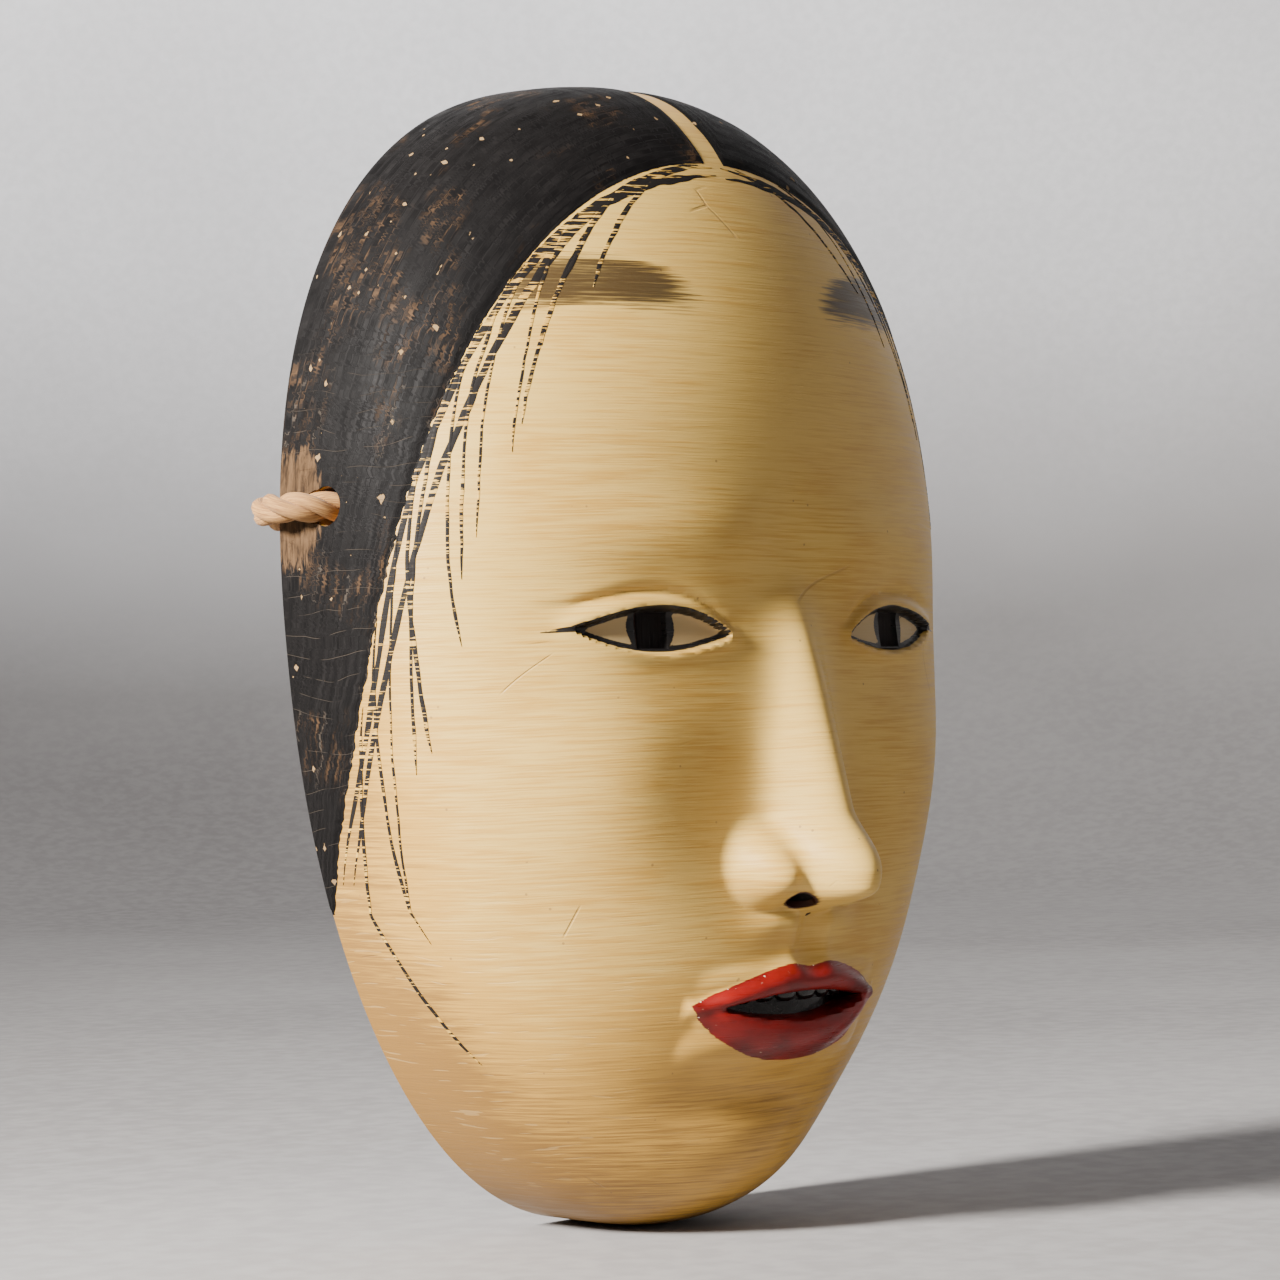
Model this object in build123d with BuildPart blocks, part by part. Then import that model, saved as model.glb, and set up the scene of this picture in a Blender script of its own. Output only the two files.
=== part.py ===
from build123d import *
import os

import numpy as np

# A noh mask: a carved wooden shell with a gofun ground on its face, painted hair and lips,
# blackened teeth, a lacquered hollow and a hanging cord knotted inside two side holes.
# Frame: +Z up, the face looks along -Y, the rim's back plane is y = 0 and the origin is at
# its middle. All sizes are in millimetres.

# ---------------------------------------------------------------- driving dimensions
HALF_HEIGHT = 106.0
HALF_WIDTH = 69.0
VAULT_DEPTH = 56.0          # depth of the plain vault, without nose or lips
SIDE_WALL = 9.0             # thickness of the wood at the rim
FRONT_WALL = 8.5            # thickness of the wood behind cheeks and forehead
GROUND = 0.8                # thickness of the gofun ground
LACQUER = 0.45              # thickness of the lacquer in the hollow
PAINT = 0.25                # thickness of the hair's paint
PAINT_LIFT = 0.1            # and how far above the ground its underside lies

JAW_TAPER = 0.14            # widening towards the crown, narrowing towards the chin
BROW_Z = 18.0
EYE_X = 30.0
EYE_Z = 3.0
NOSE_Z = -35.0
MOUTH_Z = -63.0
CHIN_Z = -92.0

SIGHT_HOLE = 6.5            # side of the square sight holes
NOSTRIL_X = 6.0
NOSTRIL_WIDTH = 4.2
NOSTRIL_LENGTH = 7.0
MOUTH_WIDTH = 36.0
MOUTH_UP = 2.5              # rise of the mouth opening's upper edge over its corners
MOUTH_DOWN = 2.7            # drop of its lower edge
EDGE_LINING = 0.9           # the ground also lines the sight holes and the mouth this thick
LIP_HALF_WIDTH = 22.5

TEETH_RADIUS = 38.0         # the row of teeth bends round the muzzle at this radius
TEETH_FRONT_Y = -56.0
TEETH_THICK = 3.2
TEETH_BOTTOM_Z = -62.6
TEETH_TOP_Z = -56.5
TEETH_HALF_ANGLE = 27.0
BLACKING = 0.6              # thickness of the black lacquer on the teeth

HAIRLINE_RHO = 0.57         # where the hair starts on the forehead, as a fraction of the vault
HAIR_SWEEP = 115            # degrees round the vault from the parting to the hair's end
PARTING_HALF = 2.3          # half width of the bare parting

CORD_DIAMETER = 5.5
CORD_HOLE = 7.0
GROOVE_GAP = 0.45           # room between the cord and the groove worn into the rim
KNOT_RADIUS = 6.0
KNOT_LENGTH = 9.0
KNOT_NECK = 4.5             # radius of the knot where it sits against the wall

# route of the hanging cord, from the knot inside the left side to the one inside the right
CORD_ROUTE = [
    (-57.4, -12.0, 26.0),
    (-74.0, -12.0, 26.0),
    (-74.0, 3.5, 26.0),
    (-53.5, 3.8, 23.6),
    (-32.0, 4.3, 15.4),
    (-10.0, 4.6, 10.8),
    (13.0, 4.6, 10.9),
    (34.0, 4.3, 16.2),
    (54.0, 3.8, 24.0),
    (74.0, 3.5, 26.0),
    (74.0, -12.0, 26.0),
    (57.4, -12.0, 26.0),
]
RIM_BEND_RADIUS = 5.6       # where the tight cord goes round the edges of hole and rim


# ---------------------------------------------------------------- shape of the face
def smooth_step(low, high, value):
    t = np.clip((value - low) / (high - low), 0, 1)
    return t * t * (3 - 2 * t)


def smooth_max(a, b, blend):
    t = np.clip(0.5 + 0.5 * (a - b) / blend, 0, 1)
    return b + (a - b) * t + blend * t * (1 - t)


def mound(x, z, centre_x, centre_z, size_x, size_z):
    return np.exp(-(((x - centre_x) / size_x) ** 2) - ((z - centre_z) / size_z) ** 2)


def dome(x, z, centre_x, centre_z, size_x, size_z, power):
    inside = 1 - ((x - centre_x) / size_x) ** 2 - ((z - centre_z) / size_z) ** 2
    return np.maximum(inside, 0) ** power


def vault(u, v, half_width, half_height, depth):
    """The plain egg-shaped vault over a unit disc; beyond the disc it runs straight back."""
    u = np.where(np.hypot(u, v) < 1e-6, 1e-6, u)
    rho = np.hypot(u, v)
    across, along = u / rho, v / rho
    power = 2 + 0.25 * np.minimum(rho, 1) ** 2
    reach = (np.abs(across) ** power + np.abs(along) ** power) ** (-1 / power)
    turn = np.minimum(rho, 1) * np.pi / 2
    boxy = 2.35 + np.where(v > 0, 0.5, 1.1) * np.minimum(v, 1) ** 2
    round_off = (np.sin(turn) ** boxy + np.cos(turn) ** boxy) ** (-1 / boxy)
    out = np.sin(turn) * round_off
    z = half_height * along * reach * out
    x = half_width * across * reach * out * (1 + JAW_TAPER * z / half_height)
    y = -depth * np.cos(turn) * round_off + np.maximum(rho - 1, 0) * depth * np.pi / 2
    return x, y, z, rho


def nose_height(x, z):
    side = np.abs(x)
    down = np.clip((12 - z) / 46, 0, 1.2)
    ends = smooth_step(28, 2, z) * smooth_step(-48, -38, z)
    bridge = (3.2 + 14 * down**1.2) * np.exp(-((side / (6.2 + 2.8 * down)) ** 2)) * ends
    tip = 20.5 * dome(x, z, 0, NOSE_Z, 12.0, 12.5, 1.15)
    wing = 12 * dome(side, z, 10.4, NOSE_Z - 2.6, 7.6, 8.6, 1.1)
    return smooth_max(smooth_max(bridge, tip, 5), wing, 4.0)


def features(x, z):
    side = np.abs(x)
    height = 1.5 * mound(x, z, 0, 52, 40, 28)                  # forehead
    height += 1.4 * mound(side, z, 24, BROW_Z + 1, 18, 8)       # brow ridge
    height -= 5.0 * mound(side, z, 29, EYE_Z + 2, 17, 11)       # eye socket
    height -= 2.0 * mound(x, z, 0, 14, 10, 9)                   # root of the nose
    height += 3.0 * mound(side, z, 40, -22, 16, 20)             # cheekbone
    height += 2.0 * mound(side, z, 32, -50, 20, 20)             # cheek
    height += 5.5 * mound(x, z, 0, -60, 27, 19)                 # round of the mouth
    height -= 2.8 * mound(x, z, 0, -79, 17, 5)                  # dip under the lower lip
    height += 6.0 * mound(x, z, 0, CHIN_Z, 19, 12)              # chin
    lid = np.abs((side - EYE_X) / 15.5) ** 2.6 + np.abs((z - EYE_Z - 1) / 8.5) ** 2.4
    return height + 3.4 * np.exp(-lid)                          # eyeball under the lids


def ground_bed(x, z):
    """How much deeper the wood is cut at eyes and nose, which are modelled up in ground."""
    almond = np.abs((np.abs(x) - EYE_X) / 19) ** 3 + np.abs((z - EYE_Z - 1.5) / 9) ** 3
    return 1.8 * np.exp(-almond) + 0.07 * nose_height(x, z)


def lips(x, z):
    full = np.clip(1 - (x / (LIP_HALF_WIDTH + 1)) ** 2, 0, 1) ** 0.7
    upper = 2.6 * np.exp(-(((z - MOUTH_Z - 4.6) / 3.4) ** 2))
    lower = 4.0 * np.exp(-(((z - MOUTH_Z + 6.8) / 4.2) ** 2))
    return full * (upper + lower)


def front(u, v):
    """The face as the gofun ground shows it."""
    x, y, z, rho = vault(u, v, HALF_WIDTH, HALF_HEIGHT, VAULT_DEPTH)
    fade = 1 - smooth_step(0.80, 0.99, rho)
    nose = nose_height(x, z)
    return np.stack([x, y - fade * (features(x, z) + nose + lips(x, z)), z - 0.22 * fade * nose], -1)


def carving(u, v):
    """The face as the carver leaves it, under the ground."""
    x, z = front(u, v)[..., 0], front(u, v)[..., 2]
    bed = ground_bed(x, z) * (1 - smooth_step(0.80, 0.99, np.hypot(u, v)))
    return pushed(front, u, v, -GROUND) + bed[..., None] * np.array([0, 1, 0])


def hollow(u, v):
    """The inside of the shell, softer than the face and deeper behind the nose."""
    x, y, z, rho = vault(
        u, v, HALF_WIDTH - SIDE_WALL, HALF_HEIGHT - SIDE_WALL, VAULT_DEPTH - FRONT_WALL
    )
    fade = 1 - smooth_step(0.70, 0.97, rho)
    nose = 11.0 * mound(x, z, 0, NOSE_Z + 4, 10, 22)
    return np.stack([x, y - fade * (0.8 * features(x, z) + nose), z], -1)


def hair_edge(away):
    """How far out the hair's edge lies, as a fraction of the vault, round from the parting."""
    return HAIRLINE_RHO + (0.995 - HAIRLINE_RHO) * np.maximum(away / HAIR_SWEEP, 0) ** 2.6


def hair_area(side):
    """The painted hair on one side, by how far along and how far in from the rim it lies."""

    def surface(along, inward):
        edge = hair_edge(along * HAIR_SWEEP)
        rho = 1 - inward * (1 - edge)
        bare = PARTING_HALF / (HALF_WIDTH * 1.14 * np.sin(rho * np.pi / 2))
        angle = bare * (1 - along) ** 2 + np.radians(HAIR_SWEEP) * along
        return front(side * rho * np.sin(angle), rho * np.cos(angle))

    return surface


# ---------------------------------------------------------------- from shape to solids
GRID_U = 61                 # vertical sections of the shell, and points along each
GRID_V = 81
GRID_REACH = 1.06           # the sections run a little past the rim, and are cut off there
HAIR_GRID = (33, 9)
CUT = 90.0                  # longer than any wall is thick
NOSTRIL_PLANE = Plane(origin=(0, -67, -50), x_dir=(1, 0, 0), z_dir=(0, 0.5, 0.87))
NOSTRIL_DEPTH = 30.0
HOLE_MIDDLE_X = 65.0        # middle of the side wall where the cord's holes are
HOLE_CUT = 22.0
TIGHT_TURN = np.radians(60)
BACK = Plane.XZ             # the rim's back plane; its normal points out of the face


def pushed(surface, u, v, amount):
    """Points of a surface moved outwards along its normals."""
    step = 1e-3
    along_u = surface(u + step, v) - surface(u - step, v)
    along_v = surface(u, v + step) - surface(u, v - step)
    normal = np.cross(along_u, along_v)
    normal /= np.linalg.norm(normal, axis=-1, keepdims=True)
    return surface(u, v) + amount * normal


def lofted_skin(points):
    """A smooth face through rows of points, one spline for each row."""
    even = list(np.linspace(0, 1, points.shape[1]))
    rows = [[Vector(*point) for point in row] for row in points.tolist()]
    wires = [Wire([Edge.make_spline(row, parameters=even)]) for row in rows]
    return Shell.make_loft(wires).faces()[0]


def cap(surface, amount=0.0):
    """The solid under a skin; it reaches a little behind the rim's back plane."""
    u, v = np.meshgrid(np.linspace(-1, 1, GRID_U), np.linspace(-1, 1, GRID_V), indexing="ij")
    disc_u = GRID_REACH * u * np.sqrt(1 - v * v / 2)
    disc_v = GRID_REACH * v * np.sqrt(1 - u * u / 2)
    skin = lofted_skin(pushed(surface, disc_u, disc_v, amount))
    return Solid(Shell([skin, Face(skin.outer_wire())]))


def face_openings(grow):
    """What is cut out for sight holes, nostrils and mouth, wider all round by grow."""
    half = MOUTH_WIDTH / 2 + grow
    with BuildPart(mode=Mode.PRIVATE) as cutter:
        with BuildSketch(BACK):
            with Locations((-EYE_X, EYE_Z), (EYE_X, EYE_Z)):
                Rectangle(SIGHT_HOLE + 2 * grow, SIGHT_HOLE + 2 * grow)
            with BuildLine():
                ThreePointArc((-half, MOUTH_Z), (0, MOUTH_Z + MOUTH_UP + grow), (half, MOUTH_Z))
                ThreePointArc((-half, MOUTH_Z), (0, MOUTH_Z - MOUTH_DOWN - grow), (half, MOUTH_Z))
            make_face()
        extrude(amount=CUT)
        with BuildSketch(NOSTRIL_PLANE):
            with Locations((-NOSTRIL_X, 0), (NOSTRIL_X, 0)):
                Ellipse(NOSTRIL_WIDTH / 2 + grow, NOSTRIL_LENGTH / 2 + grow)
        extrude(amount=NOSTRIL_DEPTH)
    return cutter.part


def tooth_bar(from_depth, to_depth):
    """A bent bar behind the upper lip, between two depths behind the front of the teeth."""
    middle = (0, TEETH_FRONT_Y + TEETH_RADIUS)
    start = 270 - TEETH_HALF_ANGLE
    with BuildPart(mode=Mode.PRIVATE) as bar:
        with BuildSketch(Plane.XY.offset(TEETH_BOTTOM_Z)):
            with BuildLine():
                outer = CenterArc(middle, TEETH_RADIUS - from_depth, start, 2 * TEETH_HALF_ANGLE)
                inner = CenterArc(middle, TEETH_RADIUS - to_depth, start, 2 * TEETH_HALF_ANGLE)
                Line(outer @ 0, inner @ 0)
                Line(outer @ 1, inner @ 1)
            make_face()
        extrude(amount=TEETH_TOP_Z - TEETH_BOTTOM_Z)
    return bar.part


def cord_radii(route):
    """One radius for each corner: small round hole and rim, as large as fits elsewhere."""
    radii = []
    for before, corner, after in zip(route, route[1:], route[2:]):
        run_in = Vector(*corner) - Vector(*before)
        run_out = Vector(*after) - Vector(*corner)
        turn = np.radians(run_in.get_angle(run_out))
        largest = 0.45 * min(run_in.length, run_out.length) / np.tan(turn / 2)
        radii.append(min(largest, RIM_BEND_RADIUS) if turn > TIGHT_TURN else largest)
    return radii


def cord_tube(radius):
    """The whole cord as a tube, from knot to knot."""
    with BuildPart(mode=Mode.PRIVATE) as tube:
        with BuildLine() as route:
            FilletPolyline(*CORD_ROUTE, radius=cord_radii(CORD_ROUTE))
        with BuildSketch(Plane(origin=route.line @ 0, z_dir=route.line % 0)):
            Circle(radius)
        sweep()
    return tube.part, sum(edge.length for edge in route.edges())


# ---------------------------------------------------------------- what is cut away
with BuildPart() as behind_rim:
    with BuildSketch(BACK):
        Rectangle(4 * HALF_WIDTH, 4 * HALF_HEIGHT)
    extrude(amount=-CUT)

with BuildPart() as cord_way:
    add(cord_tube(CORD_DIAMETER / 2 + GROOVE_GAP)[0])
    for side in -1, 1:
        middle = (side * HOLE_MIDDLE_X, CORD_ROUTE[0][1], CORD_ROUTE[0][2])
        with Locations(Plane(origin=middle, z_dir=(1, 0, 0))):
            Cylinder(CORD_HOLE / 2, HOLE_CUT)

# ---------------------------------------------------------------- the pieces
with BuildPart() as wood_core:
    add(cap(carving))
    for cut in cap(hollow), behind_rim.part, face_openings(EDGE_LINING):
        add(cut, mode=Mode.SUBTRACT)
    add(tooth_bar(BLACKING, TEETH_THICK))
    add(cord_way.part, mode=Mode.SUBTRACT)

with BuildPart() as gofun_ground:
    add(cap(front))
    for cut in cap(carving), behind_rim.part, face_openings(0), cord_way.part:
        add(cut, mode=Mode.SUBTRACT)

with BuildPart() as inner_lacquer:
    add(cap(hollow))
    for cut in cap(hollow, -LACQUER), behind_rim.part, face_openings(EDGE_LINING), cord_way.part:
        add(cut, mode=Mode.SUBTRACT)
    add(tooth_bar(BLACKING, TEETH_THICK), mode=Mode.SUBTRACT)

with BuildPart() as teeth_blacking:
    add(tooth_bar(0, BLACKING))
    add(face_openings(EDGE_LINING), mode=Mode.INTERSECT)

hair_paint = {}
for name, side in ("hair_paint_left", -1), ("hair_paint_right", 1):
    along, inward = np.meshgrid(
        np.linspace(0, 1, HAIR_GRID[0]), np.linspace(0, 1, HAIR_GRID[1]), indexing="ij"
    )
    with BuildPart() as hair:
        area = lofted_skin(pushed(hair_area(side), along, inward, -side * PAINT_LIFT))
        thicken(area, amount=side * PAINT)
        for cut in behind_rim, cord_way:
            add(cut.part, mode=Mode.SUBTRACT)
    hair_paint[name] = hair.part

with BuildPart() as hanging_cord:
    tube, cord_length = cord_tube(CORD_DIAMETER / 2)
    add(tube)

stop_knots = {}
for name, end, side in ("left_stop_knot", CORD_ROUTE[0], 1), ("right_stop_knot", CORD_ROUTE[-1], -1):
    with BuildPart() as knot:
        with BuildSketch(Plane(origin=end, x_dir=(side, 0, 0), z_dir=(0, 0, 1))):
            with BuildLine():
                Line((0, 0), (0, KNOT_NECK))
                Spline(
                    (0, KNOT_NECK), (KNOT_LENGTH * 0.45, KNOT_RADIUS), (KNOT_LENGTH, 0),
                    tangents=[(0.6, 1), (0, -1)],
                )
                Line((KNOT_LENGTH, 0), (0, 0))
            make_face()
        revolve(axis=Axis(end, (1, 0, 0)))
    stop_knots[name] = knot.part

# ---------------------------------------------------------------- files
os.makedirs("parts", exist_ok=True)
pieces = {
    "wood_core": wood_core.part,
    "gofun_ground": gofun_ground.part,
    "inner_lacquer": inner_lacquer.part,
    "teeth_blacking": teeth_blacking.part,
    **hair_paint,
    "hanging_cord": hanging_cord.part,
    **stop_knots,
}
for name, piece in pieces.items():
    piece.label = name
    export_step(piece, f"parts/{name}.step")
    print(name, piece.is_valid, round(piece.volume), "mm3 in", len(piece.solids()), "solid")
section = np.pi * CORD_DIAMETER**2 / 4
print("cord radii", [round(float(radius), 1) for radius in cord_radii(CORD_ROUTE)])
print("cord length", round(cord_length, 1), "section times length", round(section * cord_length))
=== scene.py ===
import math

import bmesh
import bpy
import numpy as np
from mathutils import Matrix, Vector, kdtree


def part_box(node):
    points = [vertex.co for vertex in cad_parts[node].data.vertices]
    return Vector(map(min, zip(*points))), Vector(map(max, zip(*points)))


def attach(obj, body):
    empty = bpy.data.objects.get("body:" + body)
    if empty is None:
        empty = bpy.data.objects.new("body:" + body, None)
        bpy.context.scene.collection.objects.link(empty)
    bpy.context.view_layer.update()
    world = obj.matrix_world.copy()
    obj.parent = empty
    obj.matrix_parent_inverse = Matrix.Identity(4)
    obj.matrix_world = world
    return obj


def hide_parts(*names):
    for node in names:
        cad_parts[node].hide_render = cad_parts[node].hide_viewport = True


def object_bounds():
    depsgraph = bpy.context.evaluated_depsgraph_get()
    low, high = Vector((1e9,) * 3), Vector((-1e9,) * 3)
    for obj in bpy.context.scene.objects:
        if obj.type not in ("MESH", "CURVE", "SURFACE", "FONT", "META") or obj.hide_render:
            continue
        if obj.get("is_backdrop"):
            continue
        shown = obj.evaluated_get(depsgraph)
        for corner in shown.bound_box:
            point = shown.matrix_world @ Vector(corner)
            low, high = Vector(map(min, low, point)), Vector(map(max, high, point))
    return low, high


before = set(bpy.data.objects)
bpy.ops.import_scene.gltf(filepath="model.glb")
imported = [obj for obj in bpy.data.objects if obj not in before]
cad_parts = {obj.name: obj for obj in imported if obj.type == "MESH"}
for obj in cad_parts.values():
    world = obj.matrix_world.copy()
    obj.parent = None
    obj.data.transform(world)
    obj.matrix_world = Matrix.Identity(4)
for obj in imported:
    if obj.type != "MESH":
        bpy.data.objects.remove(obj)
cad_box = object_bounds()

# The looks of a noh mask, built round the CAD frame. The shape functions work in millimetres,
# in the frame's axes: +Z up, the face looks along -Y, the rim's back plane is y = 0.
MM = 0.001
BODY = "root"
SEED = 11
NOISE_KNOTS = 4096

# ---------------------------------------------------------------- sizes, from the frame
ground_low, ground_high = (np.array(corner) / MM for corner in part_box("gofun_ground"))
HALF_HEIGHT = ground_high[2]
HALF_WIDTH = 0.9847 * ground_high[0]        # the vault's, without the jaw's taper
VAULT_DEPTH = 0.7347 * -ground_low[1]       # and without the nose
SIDE_WALL = 9.0
FRONT_WALL = 8.5
GROUND = 0.8
LACQUER = 0.45
JAW_TAPER = 0.14
BROW_Z = 18.0
EYE_X, EYE_Z, EYE_HALF = 30.0, 3.0, 15.0
NOSE_Z = -35.0
MOUTH_Z = -63.0
CHIN_Z = -92.0
SIGHT_HOLE = 6.3
NOSTRIL_AT = (6.0, -65.3, -48.4)
NOSTRIL_RADII = (2.1, 2.8)
NOSTRIL_WAY = Vector((0, 0.5, 0.87)).normalized()
MOUTH_HALF = 23.0                           # from the middle to the corner of the red
WOOD_LIP_HALF = 23.5                        # and to the corner of the wood's carved lips
OPENING_HALF, OPENING_UP, OPENING_DOWN = 17.2, 2.2, 2.4
LINING_HALF, LINING_UP, LINING_DOWN = 18.7, 3.2, 3.4     # the wood's own opening, a hair smaller
HAIRLINE_RHO = 0.57
HAIR_SWEEP = 115.0
PARTING_HALF = 2.3
CORD_HOLE = 7.0
HOLE_Y, HOLE_Z = -12.0, 26.0
TEETH_RADIUS = 38.0
TEETH_FRONT_Y = -56.4
TEETH_BOTTOM_Z = -63.1

# Route of the cord, in metres, from the knot inside the left side to the one inside the right.
CORD_ROUTE = [
    (-0.0574, -0.0120, 0.0260),
    (-0.0740, -0.0120, 0.0260),
    (-0.0740, 0.0043, 0.0260),
    (-0.0535, 0.0038, 0.0236),
    (-0.0320, 0.0043, 0.0154),
    (-0.0100, 0.0046, 0.0108),
    (0.0130, 0.0046, 0.0109),
    (0.0340, 0.0043, 0.0162),
    (0.0540, 0.0038, 0.0240),
    (0.0740, 0.0043, 0.0260),
    (0.0740, -0.0120, 0.0260),
    (0.0574, -0.0120, 0.0260),
]


# ---------------------------------------------------------------- shape of the face
def smooth_step(low, high, value):
    t = np.clip((value - low) / (high - low), 0, 1)
    return t * t * (3 - 2 * t)


def smooth_max(a, b, blend):
    t = np.clip(0.5 + 0.5 * (a - b) / blend, 0, 1)
    return b + (a - b) * t + blend * t * (1 - t)


def mound(x, z, centre_x, centre_z, size_x, size_z):
    return np.exp(-(((x - centre_x) / size_x) ** 2) - ((z - centre_z) / size_z) ** 2)


def dome(x, z, centre_x, centre_z, size_x, size_z, power):
    inside = 1 - ((x - centre_x) / size_x) ** 2 - ((z - centre_z) / size_z) ** 2
    return np.maximum(inside, 0) ** power


def vault(u, v, half_width, half_height, depth):
    """The plain egg-shaped vault over a unit disc."""
    u = np.where(np.hypot(u, v) < 1e-6, 1e-6, u)
    rho = np.hypot(u, v)
    across, along = u / rho, v / rho
    power = 2 + 0.25 * np.minimum(rho, 1) ** 2
    reach = (np.abs(across) ** power + np.abs(along) ** power) ** (-1 / power)
    turn = np.minimum(rho, 1) * np.pi / 2
    boxy = 2.35 + np.where(v > 0, 0.5, 1.1) * np.minimum(v, 1) ** 2
    cosine = np.maximum(np.cos(turn), 0)
    round_off = (np.sin(turn) ** boxy + cosine**boxy) ** (-1 / boxy)
    out = np.sin(turn) * round_off
    z = half_height * along * reach * out
    x = half_width * across * reach * out * (1 + JAW_TAPER * z / half_height)
    y = -depth * cosine * round_off + np.maximum(rho - 1, 0) * depth * np.pi / 2
    return x, y, z, rho


def nose_height(x, z):
    side = np.abs(x)
    down = np.clip((12 - z) / 46, 0, 1.2)
    ends = smooth_step(28, 2, z) * smooth_step(-48, -38, z)
    bridge = (3.2 + 14 * down**1.2) * np.exp(-((side / (6.2 + 2.8 * down)) ** 2)) * ends
    tip = 20.5 * dome(x, z, 0, NOSE_Z, 12.0, 12.5, 1.15)
    wing = 11.6 * dome(side, z, 10.3, NOSE_Z - 2.5, 7.9, 8.9, 1.15)
    return smooth_max(smooth_max(bridge, tip, 5), wing, 4.8)


def features(x, z):
    side = np.abs(x)
    height = 1.5 * mound(x, z, 0, 52, 40, 28)
    height += 1.4 * mound(side, z, 24, BROW_Z + 1, 18, 8)
    height -= 5.0 * mound(side, z, 29, EYE_Z + 2, 17, 11)
    height -= 2.0 * mound(x, z, 0, 14, 10, 9)
    height += 3.0 * mound(side, z, 40, -22, 16, 20)
    height += 2.0 * mound(side, z, 32, -50, 20, 20)
    height += 5.5 * mound(x, z, 0, -60, 27, 19)
    height -= 2.8 * mound(x, z, 0, -79, 17, 5)
    height += 6.0 * mound(x, z, 0, CHIN_Z, 19, 12)
    lid = np.abs((side - EYE_X) / 15.5) ** 2.6 + np.abs((z - EYE_Z - 1) / 8.5) ** 2.4
    return height + 3.4 * np.exp(-lid)


def bed_depth(x, z):
    """How much deeper the wood lies under the ground at eyes and nose."""
    almond = np.abs((np.abs(x) - EYE_X) / 19) ** 3 + np.abs((z - EYE_Z - 1.5) / 9) ** 3
    return 1.8 * np.exp(-almond) + 0.07 * nose_height(x, z)


def carved_lips(x, z):
    """The lips as the wood has them."""
    full = np.clip(1 - (x / WOOD_LIP_HALF) ** 2, 0, 1) ** 0.7
    upper = 2.6 * np.exp(-(((z - MOUTH_Z - 4.6) / 3.4) ** 2))
    lower = 4.0 * np.exp(-(((z - MOUTH_Z + 6.8) / 4.2) ** 2))
    return full * (upper + lower)


def lens(x, z, half, up, down):
    """Rough distance inside a lens-shaped opening round the mouth's middle; negative outside."""
    rise = np.where(z > MOUTH_Z, up, down) * (1 - (x / half) ** 2)
    return rise - np.abs(z - MOUTH_Z)


def eye_lines(x):
    """Heights of the upper and the lower edge of the eye at x."""
    t = np.clip((np.abs(x) - EYE_X) / EYE_HALF, -1, 1)
    middle = EYE_Z + 0.8 * t
    upper = middle + 4.2 * (1 - t**2) * (1 - 0.30 * t)
    lower = middle - 3.5 * (1 - t**2) * (1 + 0.15 * t)
    return upper, lower


def lip_lines(x):
    """Heights of the lips' edges at x: top of the upper lip, and bottom of the lower."""
    t = np.clip(np.abs(x) / MOUTH_HALF, 0, 1)
    top = MOUTH_Z + 0.4 + 7.2 * (1 - t**1.7) - 1.3 * np.exp(-((x / 3.2) ** 2))
    bottom = MOUTH_Z + 0.4 - 11.0 * (1 - t**2.4) ** 0.9
    return top, bottom


def fine_lips(x, z):
    side = np.abs(x)
    top, bottom = lip_lines(x)
    full = np.clip(1 - (x / (MOUTH_HALF + 0.5)) ** 2, 0, 1)
    opening = np.clip(1 - (x / OPENING_HALF) ** 2, 0, 1)
    upper_low = MOUTH_Z + OPENING_UP * opening
    lower_high = MOUTH_Z - OPENING_DOWN * opening
    upper_half = np.maximum(0.5 * (top - upper_low), 1.0)
    lower_half = np.maximum(0.5 * (lower_high - bottom), 1.0)
    upper_middle = 0.5 * (top + upper_low) - 0.2
    lower_middle = 0.5 * (bottom + lower_high) + 0.5
    height = 3.3 * full**0.6 * np.exp(-(((z - upper_middle) / (1.3 * upper_half)) ** 2))
    height += 4.7 * full**0.7 * np.exp(-(((z - lower_middle) / (1.2 * lower_half)) ** 2))
    seam = 1.7 * full * smooth_step(OPENING_HALF - 6, OPENING_HALF + 1, side)
    height -= seam * np.exp(-(((z - MOUTH_Z) / 1.1) ** 2))
    inside = lens(x, z, OPENING_HALF, OPENING_UP, OPENING_DOWN)
    height -= 6.0 * smooth_step(-0.5, 0.9, inside)
    height -= 0.9 * mound(x, z, 0, MOUTH_Z + 13, 2.6, 5.0)
    return height + 0.5 * mound(side, z, 4.2, MOUTH_Z + 12.5, 1.7, 5.5)


def fine_eyes(x, z):
    away = np.abs(np.abs(x) - EYE_X)
    upper, lower = eye_lines(x)
    inside = np.minimum(upper - z, z - lower)
    near = smooth_step(EYE_HALF + 3, EYE_HALF - 1, away)
    height = -1.5 * smooth_step(-0.25, 0.4, inside) * near
    height += 0.9 * near * np.exp(-(((z - upper - 0.9) / 1.3) ** 2))
    height += 0.5 * near * np.exp(-(((lower - z - 0.9) / 1.2) ** 2))
    crease = upper + 3.2 + 0.8 * np.clip((np.abs(x) - EYE_X) / EYE_HALF, -1, 1)
    wide = smooth_step(EYE_HALF + 6, EYE_HALF - 4, np.abs(np.abs(x) - EYE_X - 1))
    return height - 0.85 * wide * np.exp(-(((z - crease) / 0.9) ** 2))


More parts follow.
